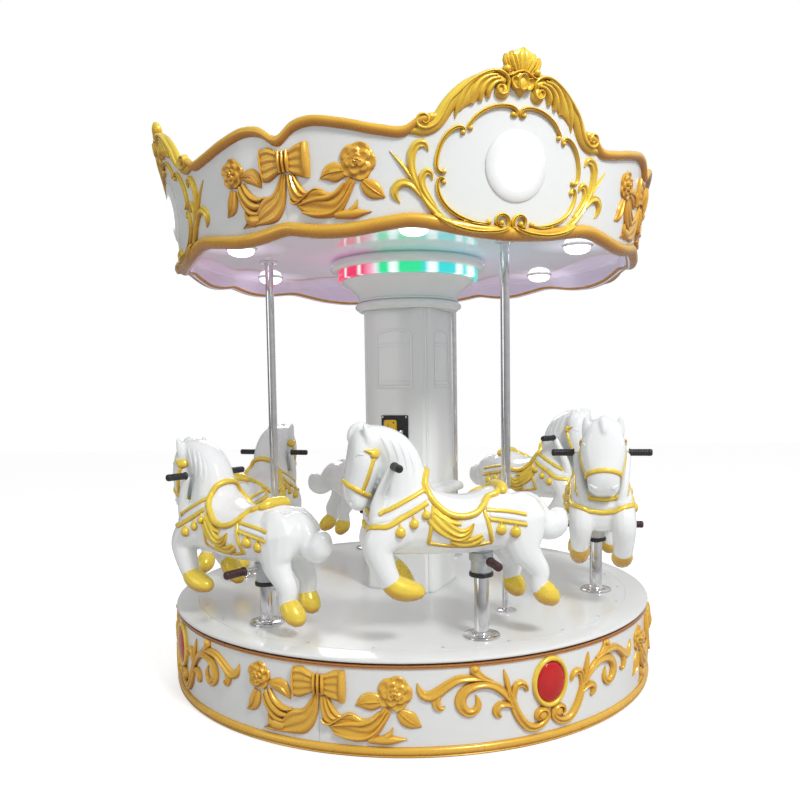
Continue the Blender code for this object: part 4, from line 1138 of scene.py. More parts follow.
# Leaf over the hump: its broad body, the stem under it, its lobes, its rim and its curls
HUMP_BODY = (
    ((-150, 306, 30, 12), (-188, 276, 44, 14), (-222, 244, 48, 15), (-248, 212, 49, 16), (-266, 184, 49, 16),
     (-288, 158, 45, 16), (-318, 142, 37, 14), (-352, 142, 27, 12), (-392, 146, 22, 8)),
    ((-56, 306, 24, 12), (-84, 312, 36, 13), (-118, 302, 56, 14), (-150, 282, 70, 14), (-176, 257, 68, 13),
     (-198, 232, 46, 11), (-212, 206, 20, 8)),
)
HUMP_RIDGES = (
    ((-66, 304, 13, 17), (-88, 300, 17, 20), (-103, 286, 20, 21), (-111, 268, 22, 19), (-111, 250, 15, 12)),
    ((-76, 314, 13, 18), (-106, 306, 18, 21), (-126, 288, 21, 22), (-136, 262, 24, 20), (-137, 238, 16, 12)),
    ((-86, 322, 13, 18), (-120, 314, 19, 21), (-146, 294, 24, 22), (-162, 262, 28, 21), (-166, 228, 20, 12)),
    ((-100, 328, 11, 18), (-140, 316, 17, 20), (-172, 292, 24, 20), (-194, 262, 28, 19), (-206, 230, 26, 17),
     (-214, 204, 15, 12), (-219, 178, 2, 4)),
    ((-47, 292, 11, 22), (-47, 308, 12, 23), (-58, 324, 13, 23), (-78, 333, 14, 23), (-104, 333, 14, 23),
     (-132, 322, 14, 23), (-162, 304, 15, 23), (-190, 281, 15, 23), (-216, 256, 15, 23), (-238, 233, 15, 23),
     (-252, 208, 15, 23), (-264, 184, 16, 23), (-280, 163, 17, 23), (-300, 151, 17, 23), (-320, 148, 17, 23),
     (-338, 156, 15, 22), (-344, 172, 14, 22), (-336, 187, 13, 22), (-320, 191, 12, 22), (-307, 182, 11, 22),
     (-306, 169, 10, 22), (-316, 162, 10, 22), (-325, 168, 9, 22)),
    ((-47, 292, 11, 22), (-50, 275, 12, 22), (-62, 264, 13, 22), (-76, 266, 12, 22), (-84, 278, 12, 22),
     (-78, 290, 11, 22), (-66, 288, 10, 22), (-64, 279, 9, 22)),
    # ridge over the lower shell
    ((-58, 322, 9, 19), (-40, 325, 11, 21), (-22, 335, 12, 22), (0, 342, 12, 23)),
)
HUMP_KNOBS = ((-64, 273, 26, 15), (-320, 168, 28, 15), (-298, 184, 13, 18))
FRAME_KNOBS = ((-21, 207, 9, 13), (-166, 153, 9, 13), (-191, 139, 9, 13), (-252, 14, 9, 13),
               (-252, -19, 9, 13), (-86, -142, 10, 14), (-38, -143, 10, 17))
SHELL_BODY = ((0, 334, 60, 16), (0, 304, 74, 22), (0, 282, 46, 20), (0, 262, 8, 8))
# across, up, half width, half height, height, lean in degrees
SHELL_PETALS = ((-25, 302, 15, 22, 25, -22.0), (25, 302, 15, 22, 25, 22.0), (0, 306, 19, 29, 30, 0.0))


def cup(x, z, wide, tall, height, lay, tilt):
    """Hollow petal with a raised lip on the sheet, millimetres."""
    turn = radians(tilt)
    steps = 32
    rings = []
    for size, share in ((1.0, ROOT), (0.99, 0.60), (0.93, 0.93), (0.84, 1.0), (0.74, 0.86), (0.60, 0.70),
                        (0.30, 0.60), (0.04, 0.58)):
        ring = []
        for k in range(steps):
            swing = 2 * pi * k / steps
            px = wide * size * cos(swing)
            pz = tall * size * sin(swing)
            lift = share if share == ROOT else share * height / 1000.0
            ring.append(lay((x + px * cos(turn) + pz * sin(turn)) / 1000.0,
                            (z - px * sin(turn) + pz * cos(turn)) / 1000.0, lift))
        rings.append(ring)
    return ring_skin(rings)


def raised(rows):
    """Rows lifted from the sheet's zero to their height over the floor."""
    return [(row[0], row[1] + SHEET_ZERO) + tuple(row[2:]) for row in rows]


def knobs(places, flip, lay):
    """Knobs at (across, up, radius, height) of a crown sheet, or at their mirror image."""
    return [boss(flip * x, SHEET_ZERO + z, radius, height, lay) for x, z, radius, height in places]


for quarter, turn in QUARTERS.items():
    lay = crown_sheet(CARTOUCHE_ANGLE + turn)
    scrolls = []
    leaves = []
    for flip in (1.0, -1.0):
        scrolls += [stroke(raised(rows), TWIN, lay, flip, spacing=0.005) for rows in FRAME_STRANDS]
        scrolls += [stroke(raised(rows), RIDGE, lay, flip) for rows in SPRIG]
        scrolls += knobs(FRAME_KNOBS, flip, lay)
        leaves += [stroke(raised(rows), ROUND, lay, flip, spacing=0.005) for rows in HUMP_BODY + HUMP_RIDGES]
        leaves += knobs(HUMP_KNOBS, flip, lay)
    leaves.append(stroke(raised(SHELL_BODY), ROUND, lay))
    leaves += [cup(x, SHEET_ZERO + z, wide, tall, height, lay, tilt)
               for x, z, wide, tall, height, tilt in SHELL_PETALS]
    put("crown_frame_" + quarter, *gather(scrolls), GOLD, "turntable", "gold_paint", sharp=60.0)
    put("crown_leaves_" + quarter, *gather(leaves), GOLD, "turntable", "gold_paint", sharp=60.0)
    bow = bow_group(crown_sheet(CROWN_BOW_ANGLE + turn), (0.0, 2072.0), (0.92, 0.97), 1879.0)
    put("crown_bow_" + quarter, *bow, AMBER_SHADED_GOLD, "turntable", "gold_paint", sharp=60.0)


# Crown rolls: a gold roll along the waved upper edge carries a shell finial over each
# cartouche, and a heavier one along the lower edge carries the ceiling. A glossy white
# cove closes the gap between the lower roll and the ceiling.
CLEFT = ((0.0, -1.0), (0.03, 0.50), (0.14, 0.86), (0.27, 1.0), (0.40, 0.80), (0.5, 0.62), (0.60, 0.80),
         (0.73, 1.0), (0.86, 0.86), (0.97, 0.50), (1.0, -1.0))
PLATE = ((0.0, -1.0), (0.02, 0.50), (0.08, 1.0), (0.5, 1.0), (0.92, 1.0), (0.98, 0.50), (1.0, -1.0))
FAN_PLATE = ((0, 322, 84, 6), (0, 340, 116, 7), (0, 362, 124, 7), (0, 384, 112, 7), (0, 400, 74, 7),
             (0, 414, 10, 5))
FAN_LOBES = (
    ((0, 336, 24, 14), (0, 368, 38, 18), (0, 396, 36, 16), (0, 416, 6, 6)),
    ((-14, 336, 18, 12), (-27, 362, 30, 17), (-36, 384, 29, 15), (-42, 400, 9, 7)),
    ((-34, 338, 15, 11), (-50, 354, 22, 14), (-58, 374, 20, 13), (-59, 390, 8, 7)),
)


def roll_section(half_high, out, back, sides=14):
    """Oval section of a roll, flatter or fuller on its inner side."""
    section = []
    for k in range(sides):
        swing = 2 * pi * k / sides
        section.append(((out if cos(swing) > 0 else back) * cos(swing), half_high * sin(swing)))
    return section


def hump_share(angle):
    """1 along a cartouche's hump, where the leaf band covers the roll, and 0 elsewhere."""
    return min(max((17.0 - from_cartouche(angle)) / 3.0, 0.0), 1.0)


upper_rings = []
lower_rings = []
cove_rings = []
for k in range(2 * ROUND_STEPS):
    angle = 180.0 / ROUND_STEPS * k
    top, low = crown_heights(angle)
    high = top - TOP_ROLL
    out = 0.0205 - 0.012 * hump_share(angle)
    upper = roll_section(TOP_ROLL, out, 0.0215)
    lower = roll_section(BOTTOM_ROLL, 0.0235, 0.0275)
    upper_rings.append([crown_point(angle, dr, high + dz) for dr, dz in upper])
    lower_rings.append([crown_point(angle, dr, low + dz) for dr, dz in lower])
    edge = wall_radius(CEILING_LOW)
    skin = [(edge - 0.078, CEILING_LOW - 0.0006), (edge - 0.050, CEILING_LOW - 0.0030),
            (edge - 0.036, 0.4 * CEILING_LOW + 0.6 * low)]
    skin += [(wall_radius(low) - 0.0288 * cos(radians(swing)), low - 0.0252 * sin(radians(swing)))
             for swing in (8, 24, 40, 56, 70)]
    cove_rings.append([polar(r, angle, z) for r, z in skin]
                      + [polar(r + 0.0005, angle, z + 0.0005) for r, z in skin[::-1]])

finials = []
for turn in QUARTERS.values():
    lay = crown_sheet(CARTOUCHE_ANGLE + turn)
    for flip in (1.0, -1.0):
        lobes = FAN_LOBES if flip > 0.0 else FAN_LOBES[1:]
        finials += [stroke(raised(rows), CLEFT, lay, flip, both=True) for rows in lobes]
        finials.append(boss(flip * 53, SHEET_ZERO + 344.0, 13, 20, lay, both=True))
    finials.append(stroke(raised(FAN_PLATE), PLATE, lay, both=True))
put("crown_top_roll_fine", *ring_skin(upper_rings, loop=True), AMBER_SHADED_GOLD, "turntable", "gold_paint",
    ("crown_top_roll",), sharp=60.0)
put("crown_finials", *gather(finials), GOLD, "turntable", "gold_paint", sharp=60.0)
put("crown_bottom_roll_fine", *ring_skin(lower_rings, loop=True), AMBER_SHADED_GOLD, "turntable", "gold_paint",
    ("crown_bottom_roll",), sharp=60.0)
# the cove takes the ceiling's finish, painted light included
put("crown_cove", *ring_skin(cove_rings, loop=True), CEILING_GLOSS_PAINTED_GLOW, "turntable", "white_gelcoat")


# Crown lamps: round lit discs of frosted plastic, one in the middle of each
# cartouche, with four small screws round them.
LAMP_HEIGHT = 2.048
LAMP_ANGLE = 21.1
LAMP_GLASS = lamp_glass("crown_lamp_glass", 0.125, (0.28, 0.0), (0.40, 0.06), (0.48, 0.30), (0.56, 1.0))
# radius of the disc and its height on the wall
LAMP_DOME = ((0.118, -0.0005), (0.118, 0.004), (0.114, 0.008), (0.095, 0.010), (0.050, 0.0115),
             (0.006, 0.012))
LAMP_SCREWS = ((-85, 2102), (-94, 1995), (102, 2091), (93, 1984))
lamp_screws = []
for quarter, turn in QUARTERS.items():
    angle = LAMP_ANGLE + turn
    centre = polar(wall_radius(LAMP_HEIGHT) + 0.0006, angle, LAMP_HEIGHT)
    spot = (Matrix.Translation(centre) @ Matrix.Rotation(radians(angle), 4, "Z")
            @ Matrix.Rotation(atan2(WALL_FLARE, 1.0), 4, "X"))
    lay = crown_sheet(angle)
    back = spot.inverted()
    rings = [[back @ Vector(lay(r * cos(2 * pi * k / 64), LAMP_HEIGHT + r * sin(2 * pi * k / 64), lift))
              for k in range(64)] for r, lift in LAMP_DOME]
    put("crown_lamp_glass_" + quarter, *ring_skin(rings), LAMP_GLASS, "turntable", "lamp_disc",
        ("crown_lamp_" + quarter,), place=spot)
    lamp_screws += [boss(x, z, 5.0, 3.0, lay) for x, z in LAMP_SCREWS]
put("crown_lamp_screws", *gather(lamp_screws), DARK_STEEL, "turntable", "grey_steel")


# Horses: hollow glass-fibre castings, six alike, white gelcoat with the saddle,
# straps and bells moulded on and painted gold.
def span_loft(rows, spacing=0.02, sides=20, fullness=2.15):
    """Closed body through ovals, each from a front and a back point of the side view.

    Rows are (front s, front z, back s, back z, half width), where s is how far
    forward of the horse's middle a point lies.
    """
    path = [((fs + bs) / 2, (fz + bz) / 2, fs, fz, bs, bz, wide) for fs, fz, bs, bz, wide in rows]
    power = 2.0 / fullness
    rings = []
    for fs, fz, bs, bz, wide in curve_through(path, spacing)[:, 2:]:
        ring = []
        for k in range(sides):
            turn = 2 * pi * (k + 0.5) / sides
            c = abs(cos(turn)) ** power * (1 if cos(turn) > 0 else -1)
            w = abs(sin(turn)) ** power * (1 if sin(turn) > 0 else -1)
            ring.append((-((fs + bs) / 2 + c * (fs - bs) / 2), w * wide, (fz + bz) / 2 + c * (fz - bz) / 2))
        rings.append(ring)
    return ring_skin(rings)


def limb(rows, spacing=0.012, sides=14):
    """Closed round limb along a path of (s, z, half thick, half wide, side offset)."""
    fine = curve_through([(s, z, side, thick, wide) for s, z, thick, wide, side in rows], spacing, 3)
    along = np.gradient(fine[:, :2], axis=0)
    along /= np.maximum(np.linalg.norm(along, axis=1), 1e-9)[:, None]
    turns = [2 * pi * k / sides for k in range(sides)]

    def ring(n, share, reach):
        """Ring at a point of the path, at a share of its width and a reach past it."""
        s, z, side, thick, wide = fine[n]
        ds, dz = along[n]
        return [(-(s + ds * thick * reach - dz * thick * share * cos(turn)),
                 side + wide * share * sin(turn),
                 z + dz * thick * reach + ds * thick * share * cos(turn)) for turn in turns]

    first = [ring(0, share, -reach) for share, reach in ((0.30, 0.92), (0.72, 0.62))]
    last = [ring(-1, share, reach) for share, reach in ((0.72, 0.62), (0.30, 0.92))]
    return ring_skin(first + [ring(n, 1.0, 0.0) for n in range(len(fine))] + last)


# sections of the trunk, neck and head, as span_loft takes them
TRUNK = (
    (0.345, 0.800, 0.345, 0.752, 0.045), (0.336, 0.850, 0.338, 0.722, 0.088),
    (0.306, 0.905, 0.314, 0.695, 0.112), (0.250, 0.945, 0.250, 0.684, 0.122),
    (0.158, 0.968, 0.150, 0.678, 0.126), (0.112, 0.926, 0.112, 0.677, 0.131),
    (0.070, 0.906, 0.070, 0.676, 0.136), (0.020, 0.896, 0.020, 0.675, 0.139),
    (-0.030, 0.895, -0.030, 0.675, 0.139), (-0.080, 0.908, -0.080, 0.677, 0.136),
    (-0.128, 0.922, -0.128, 0.680, 0.131), (-0.166, 0.914, -0.166, 0.684, 0.128),
    (-0.206, 0.880, -0.206, 0.690, 0.125), (-0.256, 0.892, -0.256, 0.705, 0.116),
    (-0.298, 0.866, -0.298, 0.735, 0.094), (-0.320, 0.828, -0.320, 0.772, 0.050),
)
NECK = (
    (0.336, 0.770, 0.080, 0.850, 0.108), (0.333, 0.835, 0.110, 0.925, 0.101),
    (0.327, 0.885, 0.130, 0.980, 0.093), (0.318, 0.932, 0.143, 1.020, 0.086),
    (0.314, 0.975, 0.158, 1.058, 0.080), (0.320, 1.012, 0.184, 1.095, 0.076),
    (0.340, 1.045, 0.224, 1.130, 0.072), (0.370, 1.070, 0.280, 1.154, 0.066),
    (0.390, 1.104, 0.334, 1.160, 0.054),
)
HEAD = (
    (0.386, 1.156, 0.338, 1.150, 0.040), (0.405, 1.126, 0.314, 1.100, 0.068),
    (0.415, 1.086, 0.300, 1.046, 0.086), (0.423, 1.040, 0.302, 0.994, 0.090),
    (0.430, 0.995, 0.318, 0.950, 0.081), (0.437, 0.960, 0.332, 0.916, 0.070),
    (0.437, 0.925, 0.342, 0.890, 0.064), (0.429, 0.892, 0.350, 0.872, 0.062),
    (0.416, 0.866, 0.360, 0.858, 0.054), (0.400, 0.852, 0.374, 0.850, 0.031),
)
# legs, tail and forelock, as limb takes them
FORE_OUTER = ((0.235, 0.805, 0.086, 0.060, -0.070), (0.300, 0.765, 0.068, 0.058, -0.078),
              (0.328, 0.722, 0.055, 0.052, -0.084), (0.315, 0.672, 0.048, 0.047, -0.086),
              (0.298, 0.630, 0.043, 0.043, -0.086), (0.284, 0.602, 0.040, 0.040, -0.086))
FORE_INNER = ((0.235, 0.805, 0.086, 0.060, 0.070), (0.295, 0.768, 0.066, 0.056, 0.078),
              (0.318, 0.728, 0.053, 0.050, 0.084), (0.302, 0.682, 0.046, 0.045, 0.086),
              (0.272, 0.645, 0.041, 0.041, 0.086), (0.250, 0.624, 0.039, 0.039, 0.086))
HIND_OUTER = ((-0.205, 0.800, 0.108, 0.060, -0.068), (-0.215, 0.742, 0.088, 0.056, -0.074),
              (-0.225, 0.690, 0.064, 0.050, -0.078), (-0.255, 0.644, 0.047, 0.042, -0.080),
              (-0.280, 0.606, 0.040, 0.038, -0.080), (-0.278, 0.566, 0.035, 0.034, -0.080),
              (-0.284, 0.540, 0.036, 0.036, -0.080))
HIND_INNER = ((-0.195, 0.800, 0.106, 0.060, 0.068), (-0.195, 0.742, 0.086, 0.056, 0.074),
              (-0.195, 0.690, 0.062, 0.050, 0.078), (-0.216, 0.644, 0.046, 0.042, 0.080),
              (-0.236, 0.606, 0.039, 0.038, 0.080), (-0.230, 0.566, 0.034, 0.034, 0.080),
              (-0.230, 0.540, 0.036, 0.036, 0.080))
TAIL = ((-0.215, 0.842, 0.046, 0.046, 0.0), (-0.262, 0.848, 0.046, 0.045, 0.0),
        (-0.294, 0.822, 0.048, 0.046, 0.0), (-0.312, 0.786, 0.050, 0.047, 0.0),
        (-0.334, 0.760, 0.052, 0.048, 0.0), (-0.360, 0.754, 0.052, 0.050, 0.0),
        (-0.380, 0.768, 0.050, 0.050, 0.0), (-0.387, 0.790, 0.042, 0.044, 0.0))
FORELOCK = ((0.345, 1.146, 0.016, 0.020, 0.0), (0.376, 1.156, 0.016, 0.020, 0.0),
            (0.400, 1.140, 0.014, 0.018, 0.0), (0.412, 1.108, 0.009, 0.012, 0.0))
# height, half length, half width and lean of an ear's sections
EAR = ((1.080, 0.027, 0.020, 0.0), (1.102, 0.031, 0.022, 0.003), (1.126, 0.027, 0.019, 0.009),
       (1.148, 0.018, 0.014, 0.015), (1.166, 0.008, 0.007, 0.020), (1.172, 0.003, 0.003, 0.022))
# arm from the neck's root to the handlebar's grip: s, z, half thick, half wide, side
ARM = ((0.330, 0.815, 0.026, 0.024, 0.072), (0.330, 0.870, 0.023, 0.021, 0.082),
       (0.316, 0.918, 0.020, 0.019, 0.090), (0.298, 0.960, 0.018, 0.018, 0.096),
       (0.275, 1.004, 0.017, 0.017, 0.101))
HOOF_FORE_OUTER = ((0.288, 0.606, 0.037, 0.038, -0.086), (0.264, 0.582, 0.043, 0.043, -0.086),
                   (0.228, 0.567, 0.042, 0.043, -0.086), (0.188, 0.560, 0.032, 0.036, -0.086))
HOOF_FORE_INNER = ((0.254, 0.630, 0.036, 0.037, 0.086), (0.236, 0.607, 0.042, 0.042, 0.086),
                   (0.214, 0.582, 0.041, 0.042, 0.086), (0.190, 0.560, 0.032, 0.036, 0.086))
HOOF_HIND_OUTER = ((-0.284, 0.550, 0.037, 0.037, -0.080), (-0.302, 0.524, 0.044, 0.043, -0.080),
                   (-0.324, 0.506, 0.040, 0.042, -0.080))
HOOF_HIND_INNER = ((-0.230, 0.550, 0.037, 0.037, 0.080), (-0.238, 0.524, 0.043, 0.043, 0.080),
                   (-0.250, 0.506, 0.039, 0.042, 0.080))


def ear(side):
    """A pricked ear, cupped to the front, and the root it grows from."""
    rings = []
    for height, along, across, lean in EAR:
        ring = []
        for k in range(12):
            turn = 2 * pi * k / 12
            cupped = 0.45 if cos(turn) > 0.4 else 1.0
            ring.append((-(0.349 + lean + along * cupped * cos(turn)),
                         side * (0.062 + 0.30 * lean) + across * sin(turn), height))
        rings.append(ring)
    return ring_skin(rings)


def worked_mesh(name, mesh, modifiers):
    """The mesh that a chain of modifiers leaves, from (kind, settings) pairs."""
    item = bpy.data.objects.new(name, mesh)
    bpy.context.scene.collection.objects.link(item)
    for kind, settings in modifiers:
        step = item.modifiers.new(kind.lower(), kind)
        for setting, value in settings.items():
            setattr(step, setting, value)
    result = bpy.data.meshes.new_from_object(item.evaluated_get(bpy.context.evaluated_depsgraph_get()))
    bpy.data.objects.remove(item, do_unlink=True)
    result.name = name
    return result


SIDES = (-1.0, 1.0)
casting = [span_loft(rows) for rows in (TRUNK, NECK, HEAD)]
casting += [limb(rows) for rows in (FORE_OUTER, FORE_INNER, HIND_OUTER, HIND_INNER, TAIL)]
for side in SIDES:
    casting += [ear(side), limb([(*row[:4], side * row[4]) for row in ARM])]
casting.append(limb(FORELOCK))
horse_mesh = worked_mesh("horse_casting", shell("horse_bodies", *gather(casting)), (
    ("REMESH", {"mode": "VOXEL", "voxel_size": 0.0055}), ("SMOOTH", {"factor": 0.5, "iterations": 8})))
horse_tree = BVHTree.FromPolygons([v.co.copy() for v in horse_mesh.vertices],
                                  [tuple(p.vertices) for p in horse_mesh.polygons])


def flank(s, z, side):
    """Point and outward direction on the horse's side."""
    hit, normal, _, _ = horse_tree.ray_cast(Vector((-s, side * 0.6, z)), Vector((0.0, -side, 0.0)))
    if hit is None or hit.y * side < 0.0:
        hit, normal, _, _ = horse_tree.find_nearest(Vector((-s, side * 0.10, z)))
    return hit, normal


def flank_sheet(side):
    """Lays a flat ornament on one side of the horse; x is how far forward."""
    def lay(x, z, lift):
        hit, normal = flank(x, z, side)
        normal = (normal + Vector((0.0, side * 0.6, 0.0))).normalized()
        return tuple(hit + normal * lift)
    return lay


def strap(guides, width, lift, section=ROUND, spacing=0.010, closed=False):
    """Flat strap that hugs the casting along guide points."""
    rows = [tuple(point) for point in guides]
    if closed:
        rows = rows[-3:] + rows + rows[:3]
    path = curve_through(rows, spacing, 3)
    if closed:
        half = len(path) // 2
        away = np.linalg.norm(path - np.array(rows[3]), axis=1)
        path = path[int(np.argmin(away[:half])):half + int(np.argmin(away[half:]))]
    rings = []
    count = len(path)
    for n in range(count):
        before = path[(n - 1) % count] if closed else path[max(n - 1, 0)]
        after = path[(n + 1) % count] if closed else path[min(n + 1, count - 1)]
        along = Vector(after - before).normalized()
        hit, normal, _, _ = horse_tree.find_nearest(Vector(path[n]))
        side = normal.cross(along).normalized()
        ring = []
        for across, share in section:
            spot, face, _, _ = horse_tree.find_nearest(hit + side * (across - 0.5) * width)
            face = (face + normal).normalized()
            ring.append(tuple(spot + face * (lift * share if share > 0.0 else ROOT)))
        rings.append(ring)
    return ring_skin(rings, loop=closed)


def tube(points, sides=16, spacing=0.008):
    """Round bar through (x, y, z, radius) points with rounded ends."""
    path = curve_through(points, spacing, 3)
    turns = [2 * pi * k / sides for k in range(sides)]
    last = len(path) - 1
    rings = []
    for n in range(len(path)):
        along = Vector(path[min(n + 1, last), :3] - path[max(n - 1, 0), :3]).normalized()
        side = along.cross(Vector((0.0, 0.0, 1.0))).normalized()
        top = side.cross(along)
        centre = Vector(path[n, :3])
        radius = path[n, 3]
        stations = [(0.0, 1.0)]
        if n == 0:
            stations = [(-0.95, 0.25), (-0.65, 0.74)] + stations
        if n == last:
            stations += [(0.65, 0.74), (0.95, 0.25)]
        for shift, share in stations:
            rings.append([tuple(centre + along * (radius * shift) + (side * cos(turn) + top * sin(turn))
                                * radius * share) for turn in turns])
    return ring_skin(rings)


def mirrored(points):
    """The same guide points carried on to the other side of the horse."""
    return points + [Vector((p.x, -p.y, p.z)) for p in points[::-1] if abs(p.y) > 0.001]


def chest(y, z):
    """Point on the front of the chest."""
    hit, _, _, _ = horse_tree.ray_cast(Vector((-0.9, y, z)), Vector((1.0, 0.0, 0.0)))
    return hit


# trim on the flanks: forward of the middle, height, width and lift, millimetres
CLOTH_BORDERS = (
    ((132, 872, 14, 7), (140, 808, 14, 7), (148, 736, 15, 7)),
    ((-56, 846, 15, 7), (-70, 790, 17, 7), (-84, 732, 18, 7)),
    ((150, 736, 14, 6), (70, 724, 14, 6), (-10, 720, 14, 6), (-86, 730, 14, 6)),
)
SADDLE_DRAPE = (
    (FOLDS, ((134, 838, 62, 9), (106, 806, 66, 13), (72, 779, 56, 14), (38, 766, 46, 14), (10, 776, 34, 12),
             (-12, 806, 4, 5))),
    (RIDGE, ((132, 858, 24, 8), (98, 829, 24, 11), (68, 814, 20, 11), (34, 806, 14, 7))),
    (TWIN, ((70, 748, 22, 8), (34, 736, 36, 11), (2, 736, 38, 12), (-24, 744, 36, 11), (-46, 757, 30, 7))),
)
REAR_STRAPS = (((-66, 850, 14, 6), (-140, 842, 14, 6), (-216, 826, 14, 6)),
               ((-72, 818, 16, 7), (-140, 804, 16, 7), (-216, 789, 16, 7)))
BELLS = ((160, 841, 15, 15), (203, 811, 17, 17), (254, 785, 19, 18), (-116, 777, 20, 19), (-172, 764, 20, 19))
WHITE_STRAP = ((-76, 834, 18, 5), (-140, 823, 18, 5), (-214, 808, 18, 5))
CHEEK_STRAP = ((332, 1054, 15, 8), (347, 1010, 15, 8), (361, 965, 15, 8), (374, 930, 15, 7))
BROW_STRAP = ((336, 1061, 22, 12), (352, 1068, 16, 10), (370, 1073, 5, 5))
NOSTRIL = ((412, 900, 6, 4), (420, 888, 8, 6), (412, 878, 6, 5))
EYELID = ((398, 1050, 3, 2), (388, 1060, 6, 4), (372, 1056, 3, 2))
MANE_LOCKS = (
    ((310, 1132, 6, 1), (292, 1096, 16, 2.5), (278, 1060, 14, 2.5), (276, 1030, 5, 1)),
    ((278, 1128, 6, 1), (258, 1086, 16, 2.5), (246, 1048, 14, 2.5), (246, 1016, 5, 1)),
    ((246, 1112, 6, 1), (226, 1068, 16, 2.5), (216, 1030, 14, 2.5), (218, 1000, 5, 1)),
    ((214, 1086, 6, 1), (196, 1042, 14, 2.5), (188, 1006, 12, 2.5), (192, 980, 5, 1)),
)
# straps round the chest: heights from the saddle to the middle, width, lift
CHEST_PLACES = (0.152, 0.200, 0.250, 0.296)
CHEST_STRAPS = (((928, 906, 882, 860, 838, 828), 0.019, 0.007),
                ((906, 880, 856, 834, 812, 802), 0.026, 0.004),
                ((884, 857, 832, 808, 786, 776), 0.021, 0.007))
NOSEBAND = ((0.344, 0.905), (0.368, 0.917), (0.392, 0.930), (0.412, 0.942))
# saddle rim: over the pommel, down the flank and up over the cantle
RIM_PLACES = ((0.152, 0.938), (0.138, 0.900), (0.110, 0.866), (0.076, 0.841), (0.038, 0.831), (0.003, 0.832),
              (-0.030, 0.842), (-0.058, 0.864), (-0.084, 0.890))
CANTLE = ((0.142, -0.064, 0.910, 0.019), (0.146, -0.046, 0.916, 0.024), (0.148, 0.0, 0.920, 0.024),
          (0.146, 0.046, 0.916, 0.024), (0.142, 0.064, 0.910, 0.019))

gold_trim = []
white_trim = []
for side in SIDES:
    lay = flank_sheet(side)
    gold_trim += [stroke(rows, ROUND, lay, spacing=0.012) for rows in CLOTH_BORDERS + REAR_STRAPS]
    gold_trim += [stroke(rows, section, lay, spacing=0.008) for section, rows in SADDLE_DRAPE]
    for s, z, radius, height in BELLS:
        gold_trim.append(boss(s, z, radius, height, lay, 1.08))
        gold_trim.append(stroke(((s + 2, z + radius + 12, 7, 5), (s, z + radius - 4, 10, 8)), ROUND, lay))
    gold_trim.append(stroke(CHEEK_STRAP, ROUND, lay))
    gold_trim.append(boss(331, 1060, 20, 13, lay))
    gold_trim.append(stroke(BROW_STRAP, ROUND, lay))
    white_trim.append(stroke(WHITE_STRAP, ROUND, lay, spacing=0.012))
    white_trim += [stroke(rows, ROUND, lay, spacing=0.004) for rows in (NOSTRIL, EYELID)]
    white_trim += [stroke(rows, ROUND, lay, spacing=0.008) for rows in MANE_LOCKS]

for number, (heights, width, lift) in enumerate(CHEST_STRAPS):
    guides = [flank(s, z / 1000.0, -1.0)[0] for s, z in zip(CHEST_PLACES, heights)]
    guides += [chest(-0.055, heights[4] / 1000.0), chest(0.0, heights[5] / 1000.0)]
    (white_trim if number == 1 else gold_trim).append(strap(mirrored(guides), width, lift))

guides = [flank(s, z, -1.0)[0] for s, z in NOSEBAND]
guides += [chest(-0.036, 0.953), chest(0.0, 0.958)]
gold_trim.append(strap(mirrored(guides), 0.020, 0.006, spacing=0.008))
gold_trim += [boss(374, 922, 10, 9, flank_sheet(side)) for side in SIDES]
guides = [Vector((-0.138, 0.0, 0.988)), Vector((-0.148, -0.050, 0.972))]
guides += [flank(s, z, -1.0)[0] for s, z in RIM_PLACES]
guides += [Vector((0.112, -0.082, 0.912)), Vector((0.134, -0.052, 0.922)), Vector((0.142, 0.0, 0.922))]
gold_trim.append(strap(mirrored(guides), 0.026, 0.015, closed=True))
gold_trim.append(tube(CANTLE))


def shared_mesh(name, parts, material, sharp=50.0):
    """A mesh that several like pieces share."""
    return coated(shell(name, *gather(parts)), material, sharp)


# the bluish-grey stops, for spots shut in by nearby surfaces, are painted shade
HORSE_WHITE = gelcoat_white("horse_gelcoat_finish", (0.0, (0.54, 0.58, 0.60)), (0.45, (0.83, 0.87, 0.875)),
                            (0.85, (0.94, 0.955, 0.955)))
horse_mesh = worked_mesh("horse_casting", horse_mesh, (("DECIMATE", {"ratio": 0.55}),))
horse_mesh.materials.clear()
horse_mesh.materials.append(HORSE_WHITE)
horse_mesh.shade_smooth()
tack_mesh = shared_mesh("horse_gold_tack", gold_trim, GOLD, 60.0)
trim_mesh = shared_mesh("horse_white_trim", white_trim, HORSE_WHITE, 60.0)
hoof_mesh = shared_mesh("horse_hooves", [limb(rows) for rows in (
    HOOF_FORE_OUTER, HOOF_FORE_INNER, HOOF_HIND_OUTER, HOOF_HIND_INNER)], GOLD)


# Handlebars: a bright bar through the horse's neck with a black rubber grip pushed
# over each end.
RUBBER = plain_coat("black_rubber_finish", (0.012, 0.012, 0.015), (0.026, 0.026, 0.032), 0.42, 0.0, 60.0)
BAR_FORWARD = 0.268
BAR_HEIGHT = 1.015


def cross_bar(stations, forward, height, sides=24):
    """Bar across the horse from (side offset, radius) stations."""
    turns = [2 * pi * k / sides for k in range(sides)]
    return ring_skin([[(-(forward + radius * cos(turn)), y, height + radius * sin(turn)) for turn in turns]
                      for y, radius in stations])


